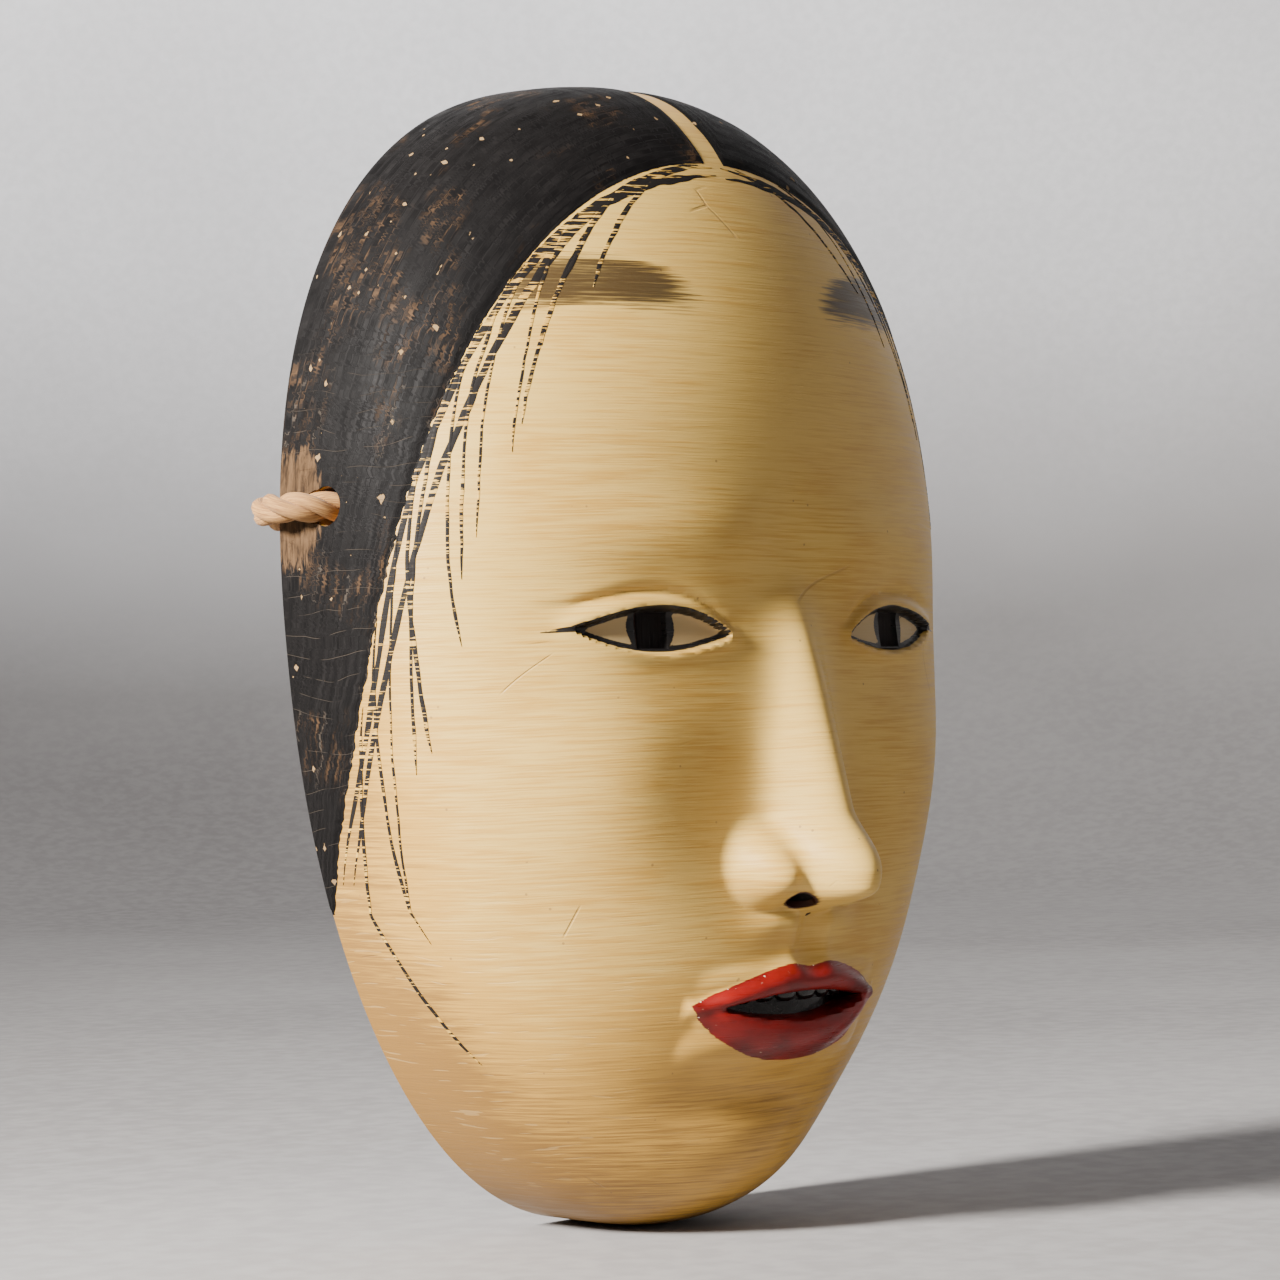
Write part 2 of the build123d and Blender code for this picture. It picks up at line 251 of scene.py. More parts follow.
def front(u, v):
    """The finished ground's surface."""
    x, y, z, rho = vault(u, v, HALF_WIDTH, HALF_HEIGHT, VAULT_DEPTH)
    fade = 1 - smooth_step(0.80, 0.99, rho)
    nose = nose_height(x, z)
    plain = features(x, z)
    over_wood = plain + carved_lips(x, z) - 0.7 * GROUND - 0.9 * bed_depth(x, z)
    over_wood -= 12 * smooth_step(-0.1, 0.3, lens(x, z, LINING_HALF, LINING_UP, LINING_DOWN))
    height = smooth_max(plain + fine_lips(x, z) + fine_eyes(x, z), over_wood, 0.3)
    height += 2.1 * mound(np.abs(x), z, 6.0, -48.0, 6.5, 3.2)     # the crease under the nostrils
    return np.stack([x, y - fade * (height + nose), z - 0.22 * fade * nose], -1)


def carving(u, v):
    """The wood's surface, which is the ground's underside; at the mouth it turns inwards."""

    def plain_front(u, v):
        x, y, z, rho = vault(u, v, HALF_WIDTH, HALF_HEIGHT, VAULT_DEPTH)
        fade = 1 - smooth_step(0.80, 0.99, rho)
        nose = nose_height(x, z)
        height = features(x, z) + nose + carved_lips(x, z)
        return np.stack([x, y - fade * height, z - 0.22 * fade * nose], -1)

    points = pushed(plain_front, u, v, -GROUND)
    x, z = points[..., 0], points[..., 2]
    bed = bed_depth(x, z) * (1 - smooth_step(0.80, 0.99, np.hypot(u, v)))
    bed += 6.6 * smooth_step(0.0, 0.4, lens(x, z, LINING_HALF, LINING_UP, LINING_DOWN))
    return points + bed[..., None] * np.array([0, 1, 0])


def hollow(u, v):
    """The inside of the shell."""
    half_width, half_height = HALF_WIDTH - SIDE_WALL, HALF_HEIGHT - SIDE_WALL
    x, y, z, rho = vault(u, v, half_width, half_height, VAULT_DEPTH - FRONT_WALL)
    fade = 1 - smooth_step(0.70, 0.97, rho)
    nose = 11.0 * mound(x, z, 0, NOSE_Z + 4, 10, 22)
    return np.stack([x, y - fade * (0.8 * features(x, z) + nose), z], -1)


def pushed(surface, u, v, amount):
    """Points of a surface moved outwards along its normals."""
    step = 1e-3
    along_u = surface(u + step, v) - surface(u - step, v)
    along_v = surface(u, v + step) - surface(u, v - step)
    normal = np.cross(along_u, along_v)
    normal /= np.maximum(np.linalg.norm(normal, axis=-1, keepdims=True), 1e-9)
    return surface(u, v) + np.asarray(amount)[..., None] * normal


def around(surface):
    """The same surface by its angle from the parting, in degrees, and its reach from the middle."""

    def by_angle(away, rho):
        angle = np.radians(away)
        return surface(rho * np.sin(angle), rho * np.cos(angle))

    return by_angle


# ---------------------------------------------------------------- mesh helpers
def crowded(count, places, extra):
    """Even steps from -1 to 1, drawn together near some places."""
    fine = np.linspace(-1, 1, 2001)
    density = np.ones_like(fine)
    for place, width in places:
        density += extra * np.exp(-(((fine - place) / width) ** 2))
    total = np.concatenate([[0], np.cumsum(0.5 * (density[1:] + density[:-1]))])
    return np.interp(np.linspace(0, total[-1], count), total, fine)


def disc(rows, columns):
    """Points of a unit disc for each row and column of a square."""
    u, v = np.meshgrid(columns, rows)
    return u * np.sqrt(1 - v * v / 2), v * np.sqrt(1 - u * u / 2)


def mesh_object(name, points, faces):
    mesh = bpy.data.meshes.new(name)
    mesh.from_pydata((np.asarray(points) * MM).tolist(), [], faces)
    mesh.update()
    piece = bpy.data.objects.new(name, mesh)
    bpy.context.scene.collection.objects.link(piece)
    return piece


def quads(index):
    corners = [index[:-1, :-1], index[:-1, 1:], index[1:, 1:], index[1:, :-1]]
    return np.stack(corners, -1).reshape(-1, 4)


def ringed(index):
    """Rings of indices, each with its first one again at its end."""
    return np.concatenate([index, index[:, :1]], 1)


def border(index):
    """The indices round a grid, in order, once round."""
    sides = [index[0, :-1], index[:-1, -1], index[-1, :0:-1], index[:0:-1, 0]]
    return np.concatenate(sides)


def shell(name, outer, inner, step):
    """A closed shell between two grids; the inner one has only every step-th line."""
    rows, columns = outer.shape[:2]
    top = np.arange(rows * columns).reshape(rows, columns)
    few = inner[::step, ::step]
    below = np.arange(few.shape[0] * few.shape[1]).reshape(few.shape[:2]) + top.size
    faces = quads(top).tolist() + quads(below)[:, ::-1].tolist()
    upper, lower = border(top), border(below)
    for place in range(len(lower)):
        run = np.take(upper, range(place * step, place * step + step + 1), mode="wrap")
        after = lower[(place + 1) % len(lower)]
        faces.append([*run[::-1].tolist(), int(lower[place]), int(after)])
    points = np.concatenate([outer.reshape(-1, 3), few.reshape(-1, 3)])
    return mesh_object(name, points, faces)


def tube(name, path, radii, sides):
    """A closed tube round each path, joined in one mesh; radii is a function of ring and angle."""
    points, faces = [], []
    for line in path:
        line = np.asarray(line)
        ahead = np.gradient(line, axis=0)
        ahead /= np.linalg.norm(ahead, axis=1, keepdims=True)
        side = np.cross(ahead[0], [0.31, 0.52, 0.79])
        start = len(points)
        turn = np.arange(sides) * 2 * np.pi / sides
        for ring, (place, way) in enumerate(zip(line, ahead)):
            side = side - way * (side @ way)
            side /= np.linalg.norm(side)
            other = np.cross(way, side)
            reach = radii(ring, len(line), turn)[:, None]
            circle = place + reach * (np.cos(turn)[:, None] * side + np.sin(turn)[:, None] * other)
            points.extend(circle)
        rings = ringed(np.arange(len(line) * sides).reshape(-1, sides) + start)
        faces.extend(quads(rings)[:, ::-1].tolist())
        faces.append(rings[0, :-1][::-1].tolist())
        faces.append(rings[-1, :-1].tolist())
    return mesh_object(name, points, faces)


def prism(name, outline, low, high):
    """A straight prism along Y over an outline in X and Z."""
    count = len(outline)
    points = [(x, low, z) for x, z in outline] + [(x, high, z) for x, z in outline]
    faces = [list(range(count)), list(range(count, 2 * count))[::-1]]
    for i in range(count):
        after = (i + 1) % count
        faces.append([i, i + count, after + count, after])
    return mesh_object(name, points, faces)


def applied(piece):
    """Puts the piece's modifiers into its mesh."""
    graph = bpy.context.evaluated_depsgraph_get()
    mesh = bpy.data.meshes.new_from_object(piece.evaluated_get(graph))
    piece.modifiers.clear()
    piece.data = mesh
    return piece


def cut(piece, cutters):
    for cutter in cutters:
        modifier = piece.modifiers.new("cut", "BOOLEAN")
        modifier.operation = "DIFFERENCE"
        modifier.solver = "MANIFOLD"
        modifier.object = cutter
    return applied(piece)


def right_way_out(piece):
    """Turns all faces outwards."""
    work = bmesh.new()
    work.from_mesh(piece.data)
    bmesh.ops.recalc_face_normals(work, faces=work.faces)
    work.to_mesh(piece.data)
    work.free()
    return piece


def smooth_shaded(piece, angle=40):
    piece.data.shade_smooth()
    piece.data.set_sharp_from_angle(angle=math.radians(angle))
    return piece


def vertices(piece):
    points = np.empty(len(piece.data.vertices) * 3, np.float32)
    piece.data.vertices.foreach_get("co", points)
    return points.reshape(-1, 3) / MM


def attribute(piece, name, values):
    kind = "FLOAT" if values.ndim == 1 else "FLOAT_VECTOR"
    layer = piece.data.attributes.new(name, kind, "POINT")
    field = "value" if values.ndim == 1 else "vector"
    layer.data.foreach_set(field, values.astype(np.float32).ravel())


def tree_of(points):
    """The points, ready to be searched for the nearest one."""
    tree = kdtree.KDTree(len(points))
    for i, point in enumerate(points):
        tree.insert(point, i)
    tree.balance()
    return tree


def finish_piece(piece, slot, look, *nodes):
    piece.data.materials.clear()
    piece.data.materials.append(look)
    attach(piece, BODY)
    if nodes:
        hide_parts(*nodes)
    return piece


def value_noise(places, spacing, seed):
    """Smooth random values from -1 to 1 along a line."""
    random = np.random.default_rng(seed)
    knots = random.uniform(-1, 1, NOISE_KNOTS)
    at = np.asarray(places) / spacing
    low = np.floor(at).astype(int)
    t = at - low
    t = t * t * (3 - 2 * t)
    return knots[low % NOISE_KNOTS] * (1 - t) + knots[(low + 1) % NOISE_KNOTS] * t


# ---------------------------------------------------------------- materials
class Look:
    """A node material, with short names for the nodes it uses."""

    def __init__(self, name, **values):
        self.material = bpy.data.materials.new(name)
        self.material.use_nodes = True
        self.tree = self.material.node_tree
        self.shader = self.tree.nodes["Principled BSDF"]
        for socket, value in values.items():
            self.shader.inputs[socket.replace("_", " ")].default_value = value

    def add(self, kind, inputs, **settings):
        node = self.tree.nodes.new("ShaderNode" + kind)
        for setting, value in settings.items():
            setattr(node, setting, value)
        for socket, value in inputs.items():
            self.put(node.inputs[socket], value)
        return node

    def put(self, socket, value):
        if isinstance(value, bpy.types.NodeSocket):
            self.tree.links.new(value, socket)
        elif isinstance(value, tuple) and len(value) == 3 and socket.type == "RGBA":
            socket.default_value = (*value, 1)
        else:
            socket.default_value = value

    def set(self, socket, value):
        self.put(self.shader.inputs[socket], value)

    def place(self, *sizes):
        """Place on the object, in units of these sizes in millimetres."""
        coordinates = self.add("TexCoord", {}).outputs["Object"]
        factors = tuple(1 / (size * MM) for size in sizes)
        return self.add("VectorMath", {0: coordinates, 1: factors}, operation="MULTIPLY").outputs[0]

    def scaled(self, vector, *factors):
        return self.add("VectorMath", {0: vector, 1: factors}, operation="MULTIPLY").outputs[0]

    def moved(self, vector, other):
        return self.add("VectorMath", {0: vector, 1: other}, operation="ADD").outputs[0]

    def mask(self, name):
        return self.add("Attribute", {}, attribute_name=name).outputs["Fac"]

    def field(self, name):
        return self.add("Attribute", {}, attribute_name=name).outputs["Vector"]

    def noise(self, vector, detail=2.0, roughness=0.5, distortion=0.0):
        inputs = {
            "Vector": vector, "Scale": 1.0, "Detail": detail,
            "Roughness": roughness, "Distortion": distortion,
        }
        return self.add("TexNoise", inputs).outputs["Fac"]

    def drift(self, vector, amount):
        """The vector moved about by a coarse noise of that many units."""
        noise = self.add("TexNoise", {"Vector": vector, "Scale": 0.35, "Detail": 2.0})
        shift = self.add(
            "VectorMath", {0: noise.outputs["Color"], 1: (-0.5, -0.5, -0.5)}, operation="ADD"
        ).outputs[0]
        return self.moved(vector, self.scaled(shift, amount, amount, amount))

    def cells(self, vector, feature="F1", distance="EUCLIDEAN"):
        settings = {"feature": feature, "distance": distance}
        return self.add("TexVoronoi", {"Vector": vector, "Scale": 1.0}, **settings).outputs

    def flakes(self, vector, size, share):
        """Angular spots up to that size, in that share of a grid's cells."""
        fine = self.drift(self.scaled(self.drift(vector, 0.9), 6, 6, 6), 1.7)
        spots = self.cells(self.scaled(fine, 1 / 6, 1 / 6, 1 / 6), distance="MANHATTAN")
        chance = self.add("SeparateColor", {0: spots["Color"]}).outputs
        reach = self.both(chance["Green"], size)
        spot = self.between(self.calc("SUBTRACT", reach, spots["Distance"]), 0.0, 0.05)
        return self.both(spot, self.calc("LESS_THAN", chance["Red"], share))

    def calc(self, operation, first, second=0.0):
        return self.add("Math", {0: first, 1: second}, operation=operation).outputs[0]

    def between(self, value, low, high, to_low=0.0, to_high=1.0):
        inputs = {
            "Value": value, "From Min": low, "From Max": high,
            "To Min": to_low, "To Max": to_high,
        }
        return self.add("MapRange", inputs, interpolation_type="SMOOTHSTEP").outputs["Result"]

    def both(self, first, second):
        return self.calc("MULTIPLY", first, second)

    def mix(self, amount, first, second):
        node = self.add("Mix", {"Factor": amount}, data_type="RGBA")
        self.put(node.inputs[6], first)
        self.put(node.inputs[7], second)
        return node.outputs[2]

    def bump(self, height, depth, normal=None):
        """Height from 0 to 1 stands for this depth in millimetres."""
        inputs = {"Height": height, "Distance": depth * MM, "Strength": 1.0}
        if normal is not None:
            inputs["Normal"] = normal
        return self.add("Bump", inputs).outputs["Normal"]


SKIN_LIGHT = (0.65, 0.420, 0.104)
SKIN_WARM = (0.53, 0.293, 0.052)
SKIN_AMBER = (0.26, 0.132, 0.026)
INK = (0.012, 0.010, 0.009)


def brush_marks(look):
    """Fine level marks of the brush in the ground, from 0 to 1, and broader ones."""
    wave = look.drift(look.place(30, 30, 30), 0.10)
    fine = look.noise(look.scaled(wave, 2.2, 2.2, 80), detail=3.0, roughness=0.6)
    broad = look.noise(look.scaled(wave, 1.3, 1.3, 30), detail=2.0)
    return fine, broad


def skin_colour(look, tone_and_shade, fine, broad):
    """The ground's colour, from light to amber by its tone, streaked by the brush; the tone also holds
    painted shade and a painted highlight.
    """
    cloud = look.noise(look.place(24, 24, 18), detail=3.0)
    mottled = look.calc("ADD", tone_and_shade, look.between(cloud, 0.3, 0.7, -0.10, 0.10))
    streaky = look.calc("ADD", mottled, look.between(fine, 0.25, 0.75, -0.24, 0.24))
    streaky = look.calc("ADD", streaky, look.between(broad, 0.3, 0.7, -0.06, 0.06))
    pale = look.mix(look.between(streaky, 0.0, 0.55), SKIN_LIGHT, SKIN_WARM)
    return look.mix(look.between(streaky, 0.5, 1.15), pale, SKIN_AMBER)


def ground_look():
    look = Look("aged_gofun", IOR=1.5, Specular_IOR_Level=0.36)
    fine, broad = brush_marks(look)
    # the tone mask carries painted shade in the face's hollows and a painted highlight down its middle
    colour = skin_colour(look, look.mask("tone_and_shade"), fine, broad)
    # pale scratches where the surface is rubbed, dark specks, and a few hairline cracks
    scratch = look.noise(look.scaled(look.drift(look.place(9, 9, 9), 0.5), 1.0, 1.0, 16), 1.0)
    scratch = look.both(look.between(scratch, 0.66, 0.70), look.mask("rubbed"))
    colour = look.mix(look.both(scratch, 0.22), colour, (0.70, 0.50, 0.22))
    speck = look.cells(look.place(3.1, 3.1, 3.1))
    dot = look.between(speck["Distance"], 0.10, 0.05)
    rare = look.between(look.noise(look.place(5, 5, 5), 1.0), 0.58, 0.62)
    colour = look.mix(look.both(look.both(dot, rare), 0.6), colour, (0.20, 0.11, 0.045))
    crack = look.cells(look.drift(look.place(27, 27, 20), 0.5), "DISTANCE_TO_EDGE")["Distance"]
    line = look.between(crack, 0.010, 0.003)
    some = look.between(look.noise(look.place(19, 19, 19), 1.0), 0.67, 0.72)
    crack = look.both(line, some)
    colour = look.mix(look.both(crack, 0.3), colour, (0.24, 0.13, 0.05))
    # brows: a dry brush dragged across the marks of the ground
    brow = look.calc("ADD", look.mask("brow"), look.between(fine, 0.3, 0.7, -0.30, 0.30))
    brow = look.both(look.between(brow, 0.10, 0.90), look.between(look.mask("brow"), 0.02, 0.2))
    colour = look.mix(look.both(brow, 0.92), colour, (0.026, 0.016, 0.010))
    # lips
    lip_cloud = look.noise(look.place(7, 7, 5), detail=3.0)
    red = look.mix(look.between(lip_cloud, 0.35, 0.7), (0.21, 0.006, 0.004), (0.105, 0.004, 0.003))
    lip_edge = look.calc("ADD", look.mask("lip"), look.between(fine, 0.2, 0.8, -0.12, 0.12))
    lip = look.between(lip_edge, -0.08, 0.10)
    colour = look.mix(lip, colour, red)
    chip = look.between(look.noise(look.place(1.3, 1.3, 0.9), 2.0), 0.69, 0.72)
    chip = look.both(chip, look.between(look.mask("lip"), 1.6, 0.4))
    colour = look.mix(look.both(chip, lip), colour, (0.74, 0.60, 0.42))
    # eyes: cream beside the sight hole, with an ink outline
    wash = look.mix(look.between(look.mask("eye_white"), -0.05, 0.12), colour, (0.47, 0.33, 0.15))
    ink_edge = look.calc("ADD", look.mask("eye_ink"), look.between(fine, 0.2, 0.8, -0.08, 0.08))
    ink = look.between(ink_edge, -0.06, 0.08)
    colour = look.mix(ink, wash, INK)
    # mouth and nostrils are dark red-brown inside: painted shade in the nostrils, and in the mouth dark
    # lacquer with painted shade where the lips turn in
    deep = look.between(look.mask("deep"), 0.2, 0.8)
    colour = look.mix(deep, colour, (0.035, 0.010, 0.006))
    look.set("Base Color", colour)
    painted = look.calc("MAXIMUM", lip, ink)
    gloss = look.calc("ADD", look.between(fine, 0.3, 0.7, 0.50, 0.34), look.both(painted, -0.08))
    look.set("Roughness", gloss)
    marks = look.calc("ADD", look.both(fine, 0.6), look.both(broad, 0.5))
    marks = look.calc("SUBTRACT", marks, look.both(crack, 0.8))
    marks = look.calc("SUBTRACT", marks, look.both(scratch, 0.25))
    look.set("Normal", look.bump(marks, 0.10))
    return look.material


def thin_lines(look, across, width):
    """Lines a unit apart across a coordinate, by how much of the unit they take."""
    return look.between(look.calc("PINGPONG", across, 0.5), width, width * 0.35)


def hair_look(name):
    """Black paint in brushed streaks, worn brown, chipped to the ground, cracked low down."""
    look = Look(name, IOR=1.5, Specular_IOR_Level=0.05)
    flow = look.field("flow")                      # along and across the hair, in millimetres
    streak = look.noise(look.scaled(flow, 0.06, 2.2, 1.0), detail=3.0, roughness=0.65)
    broad = look.noise(look.scaled(flow, 0.02, 0.25, 1.0), detail=3.0)
    colour = look.mix(look.between(streak, 0.35, 0.75), (0.0042, 0.0038, 0.0038), (0.0120, 0.0110, 0.0108))
    worn = look.noise(look.scaled(flow, 0.12, 1.3, 1.0), detail=4.0, roughness=0.7)
    patch = look.noise(look.place(13, 13, 19), detail=2.0)
    worn = look.both(look.between(worn, 0.50, 0.70), look.between(patch, 0.50, 0.62))
    colour = look.mix(look.both(worn, 0.7), colour, (0.105, 0.058, 0.028))
    # chips that show the ground: many specks and a few larger flakes
    specks = look.flakes(look.place(2.4, 2.4, 2.8), 0.40, 0.22)
    flakes = look.flakes(look.place(7.0, 7.0, 9.0), 0.17, 0.20)
    chip = look.calc("MAXIMUM", specks, flakes)
    colour = look.mix(chip, colour, (0.24, 0.155, 0.075))
    # fine pale cracks, mostly level, low down
    wander = look.drift(look.place(9, 9, 9), 1.1)
    parts = look.add("SeparateXYZ", {0: wander}).outputs
    level = thin_lines(look, look.both(parts["Z"], 2.7), 0.018)
    level = look.both(level, look.between(look.noise(look.place(6, 6, 4), 2.0), 0.45, 0.56))
    bent = look.add("SeparateXYZ", {0: look.scaled(look.drift(flow, 4.0), 1.0, 0.14, 1.0)}).outputs
    down = look.both(thin_lines(look, bent["Y"], 0.024), look.between(patch, 0.46, 0.56))
    crazed = look.mask("crazed")
    crack = look.both(look.calc("MAXIMUM", level, look.both(down, 0.8)), crazed)
    colour = look.mix(look.both(crack, 0.6), colour, (0.085, 0.068, 0.052))
    # where the cord has rubbed through to the ground
    slant = look.place(2.2, 1.0, 5.0)
    hairy = look.noise(look.drift(slant, 0.8), detail=3.0, roughness=0.7)
    rub = look.calc("ADD", look.mask("rubbed"), look.between(hairy, 0.3, 0.7, -0.22, 0.22))
    rub = look.between(rub, 0.25, 0.55)
    brown = look.mix(look.between(hairy, 0.3, 0.68), (0.028, 0.017, 0.010), (0.100, 0.058, 0.029))
    colour = look.mix(rub, colour, brown)
    look.set("Base Color", colour)
    gloss = look.between(streak, 0.3, 0.7, 0.66, 0.48)
    gloss = look.calc("ADD", gloss, look.both(look.calc("MAXIMUM", chip, rub), 0.25))
    look.set("Roughness", gloss)
    height = look.calc("ADD", look.both(streak, 0.5), look.both(broad, 0.35))
    height = look.calc("SUBTRACT", height, look.both(crack, 0.6))
    height = look.calc("SUBTRACT", height, look.both(chip, 0.8))
    look.set("Normal", look.bump(height, 0.12))
    return look.material


def strand_look():
    """Ink lines that skip over the marks of the ground."""
    look = Look("ink_strands", IOR=1.5, Specular_IOR_Level=0.12)
    fine, broad = brush_marks(look)
    skin = skin_colour(look, 0.35, fine, broad)
    skip = look.noise(look.place(6, 6, 0.42), detail=2.0, roughness=0.6)
    dry = look.noise(look.place(14, 14, 7), detail=2.0)
    wet = look.calc("ADD", look.mask("ink"), look.between(skip, 0.3, 0.7, -0.52, 0.52))
    wet = look.calc("ADD", wet, look.between(dry, 0.3, 0.7, -0.28, 0.28))
    look.set("Base Color", look.mix(look.between(wet, 0.22, 0.36), skin, INK))
    look.set("Roughness", look.between(fine, 0.3, 0.7, 0.68, 0.52))
    look.set("Normal", look.bump(fine, 0.06))
    return look.material


def lacquer_look():
    look = Look("dark_lacquer", Roughness=0.3, IOR=1.5, Coat_Weight=0.3, Coat_Roughness=0.25)
    cloud = look.noise(look.place(18, 18, 18), detail=4.0)
    colour = look.mix(look.between(cloud, 0.3, 0.7), (0.055, 0.018, 0.009), (0.022, 0.009, 0.006))
    ridge = look.mask("ridge")
    colour = look.mix(look.both(look.between(ridge, 0.25, 0.9), 0.6), colour, (0.17, 0.07, 0.028))
    look.set("Base Color", colour)
    grain = look.noise(look.place(2.5, 2.5, 30), detail=3.0)
    look.set("Roughness", look.between(cloud, 0.3, 0.7, 0.26, 0.42))
    look.set("Normal", look.bump(grain, 0.08))
    return look.material


def wood_look():
    look = Look("hinoki", Roughness=0.55, IOR=1.45)
    rings = look.drift(look.place(60, 60, 60), 0.06)
    grain = look.noise(look.scaled(rings, 55, 30, 1.2), detail=3.0, roughness=0.6)
    pores = look.noise(look.scaled(rings, 160, 160, 6), detail=2.0)
    colour = look.mix(look.between(grain, 0.35, 0.7), (0.52, 0.33, 0.16), (0.33, 0.18, 0.075))
    colour = look.mix(look.between(pores, 0.62, 0.75, 0.0, 0.35), colour, (0.16, 0.08, 0.03))
    # deeper in than about 20 mm the wood goes nearly black; there it shows only in the openings of the
    # face
    depth = look.add("SeparateXYZ", {0: look.place(1, 1, 1)}).outputs["Y"]
    colour = look.mix(look.between(depth, -17, -24), colour, (0.020, 0.010, 0.007))
    look.set("Base Color", colour)
    look.set("Roughness", look.between(grain, 0.3, 0.7, 0.62, 0.48))
    look.set("Normal", look.bump(look.calc("ADD", grain, pores), 0.07))
    return look.material


def teeth_look():
    look = Look("blackened_teeth", IOR=1.5, Specular_IOR_Level=0.3, Coat_Weight=0.3, Coat_Roughness=0.08)
    cloud = look.noise(look.place(3, 3, 2), detail=3.0)
    look.set("Base Color", look.mix(cloud, (0.004, 0.0035, 0.0035), (0.012, 0.009, 0.008)))
    look.set("Roughness", look.between(cloud, 0.3, 0.7, 0.15, 0.33))
    look.set("Normal", look.bump(look.noise(look.place(1.2, 1.2, 2.4), 2.0), 0.05))
    return look.material


def hemp_look():
    look = Look("hemp", Roughness=0.8, IOR=1.4, Sheen_Weight=0.08, Sheen_Roughness=0.5)
    yarn = look.field("yarn")                      # along the strand, round it, and which strand
    fibre = look.noise(look.scaled(yarn, 0.35, 5.0, 3.0), detail=3.0, roughness=0.65)
    cloud = look.noise(look.place(5, 5, 5), detail=2.0)
    colour = look.mix(look.between(fibre, 0.3, 0.7), (0.18, 0.075, 0.022), (0.50, 0.26, 0.080))
    colour = look.mix(look.between(cloud, 0.4, 0.75, 0.0, 0.45), colour, (0.36, 0.18, 0.06))
    # painted shade, darker in the crevices between the strands
    deep = look.mask("crevice_shade")
    colour = look.mix(look.between(deep, 0.35, 1.0, 0.0, 0.8), colour, (0.10, 0.045, 0.018))
    look.set("Base Color", colour)
    look.set("Normal", look.bump(fibre, 0.16))
    return look.material


def stage_look():
    look = Look("pale_backdrop", Roughness=0.9)
    cloud = look.noise(look.place(260, 260, 260), detail=4.0)
    grit = look.noise(look.place(6, 6, 6), detail=3.0)
    height = look.add("SeparateXYZ", {0: look.place(1, 1, 1)}).outputs["Z"]
    wall = look.mix(look.between(cloud, 0.3, 0.7), (0.72, 0.70, 0.695), (0.82, 0.805, 0.80))
    floor = look.mix(look.between(cloud, 0.3, 0.7), (0.24, 0.228, 0.225), (0.30, 0.288, 0.284))
    # painted shade: dark grey on the floor, lightening up the sweep into the pale wall
    colour = look.mix(look.between(height, -104, 260), floor, wall)
    look.set("Base Color", look.mix(look.between(grit, 0.3, 0.7, 0.0, 0.2), colour, (0.5, 0.49, 0.48)))
    return look.material


# ---------------------------------------------------------------- camera
AZIMUTH, ELEVATION, ROLL = math.radians(-43), math.radians(-1.0), math.radians(-1.3)
DISTANCE = 0.7
LENS = 104.0
AIM_RIGHT, AIM_UP = 0.0116, 0.0027          # from the mask's middle to the picture's, in metres
level = Vector((math.cos(AZIMUTH), math.sin(AZIMUTH), 0))
back = math.cos(ELEVATION) * Vector((math.sin(AZIMUTH), -math.cos(AZIMUTH), 0))
back.z = math.sin(ELEVATION)
upright = back.cross(level)
right = math.cos(ROLL) * level + math.sin(ROLL) * upright
up = math.cos(ROLL) * upright - math.sin(ROLL) * level
camera_data = bpy.data.cameras.new("camera")
camera_data.lens = LENS
camera = bpy.data.objects.new("camera", camera_data)
bpy.context.scene.collection.objects.link(camera)
aim = right * AIM_RIGHT + up * AIM_UP
camera.matrix_world = Matrix.Translation(aim + back * DISTANCE) @ Matrix(
    ((right.x, up.x, back.x), (right.y, up.y, back.y), (right.z, up.z, back.z))
).to_4x4()
bpy.context.scene.camera = camera


# ---------------------------------------------------------------- cord
STRANDS = 3
STRAND_PITCH = 17.0
STRAND_RADIUS = 1.36
STRAND_OFFSET = 1.38


def curve_points(route):
    """Points along a NURBS curve with these control points, in metres."""
    curve = bpy.data.curves.new("route", "CURVE")
    curve.dimensions = "3D"
    curve.resolution_u = 24
    spline = curve.splines.new("NURBS")
    spline.points.add(len(route) - 1)
    for point, place in zip(spline.points, route):
        point.co = (*place, 1)
    spline.order_u = 3
    spline.use_endpoint_u = True
    carrier = bpy.data.objects.new("route", curve)
    bpy.context.scene.collection.objects.link(carrier)
    graph = bpy.context.evaluated_depsgraph_get()
    mesh = bpy.data.meshes.new_from_object(carrier.evaluated_get(graph))
    points = np.array([vertex.co[:] for vertex in mesh.vertices])
    bpy.data.objects.remove(carrier)
    return points


def evenly(points, step):
    """The same line with even steps."""
    lengths = np.concatenate([[0], np.cumsum(np.linalg.norm(np.diff(points, axis=0), axis=1))])
    places = np.linspace(0, lengths[-1], max(4, int(lengths[-1] / step) + 1))
    return np.stack([np.interp(places, lengths, points[:, axis]) for axis in range(3)], 1), places


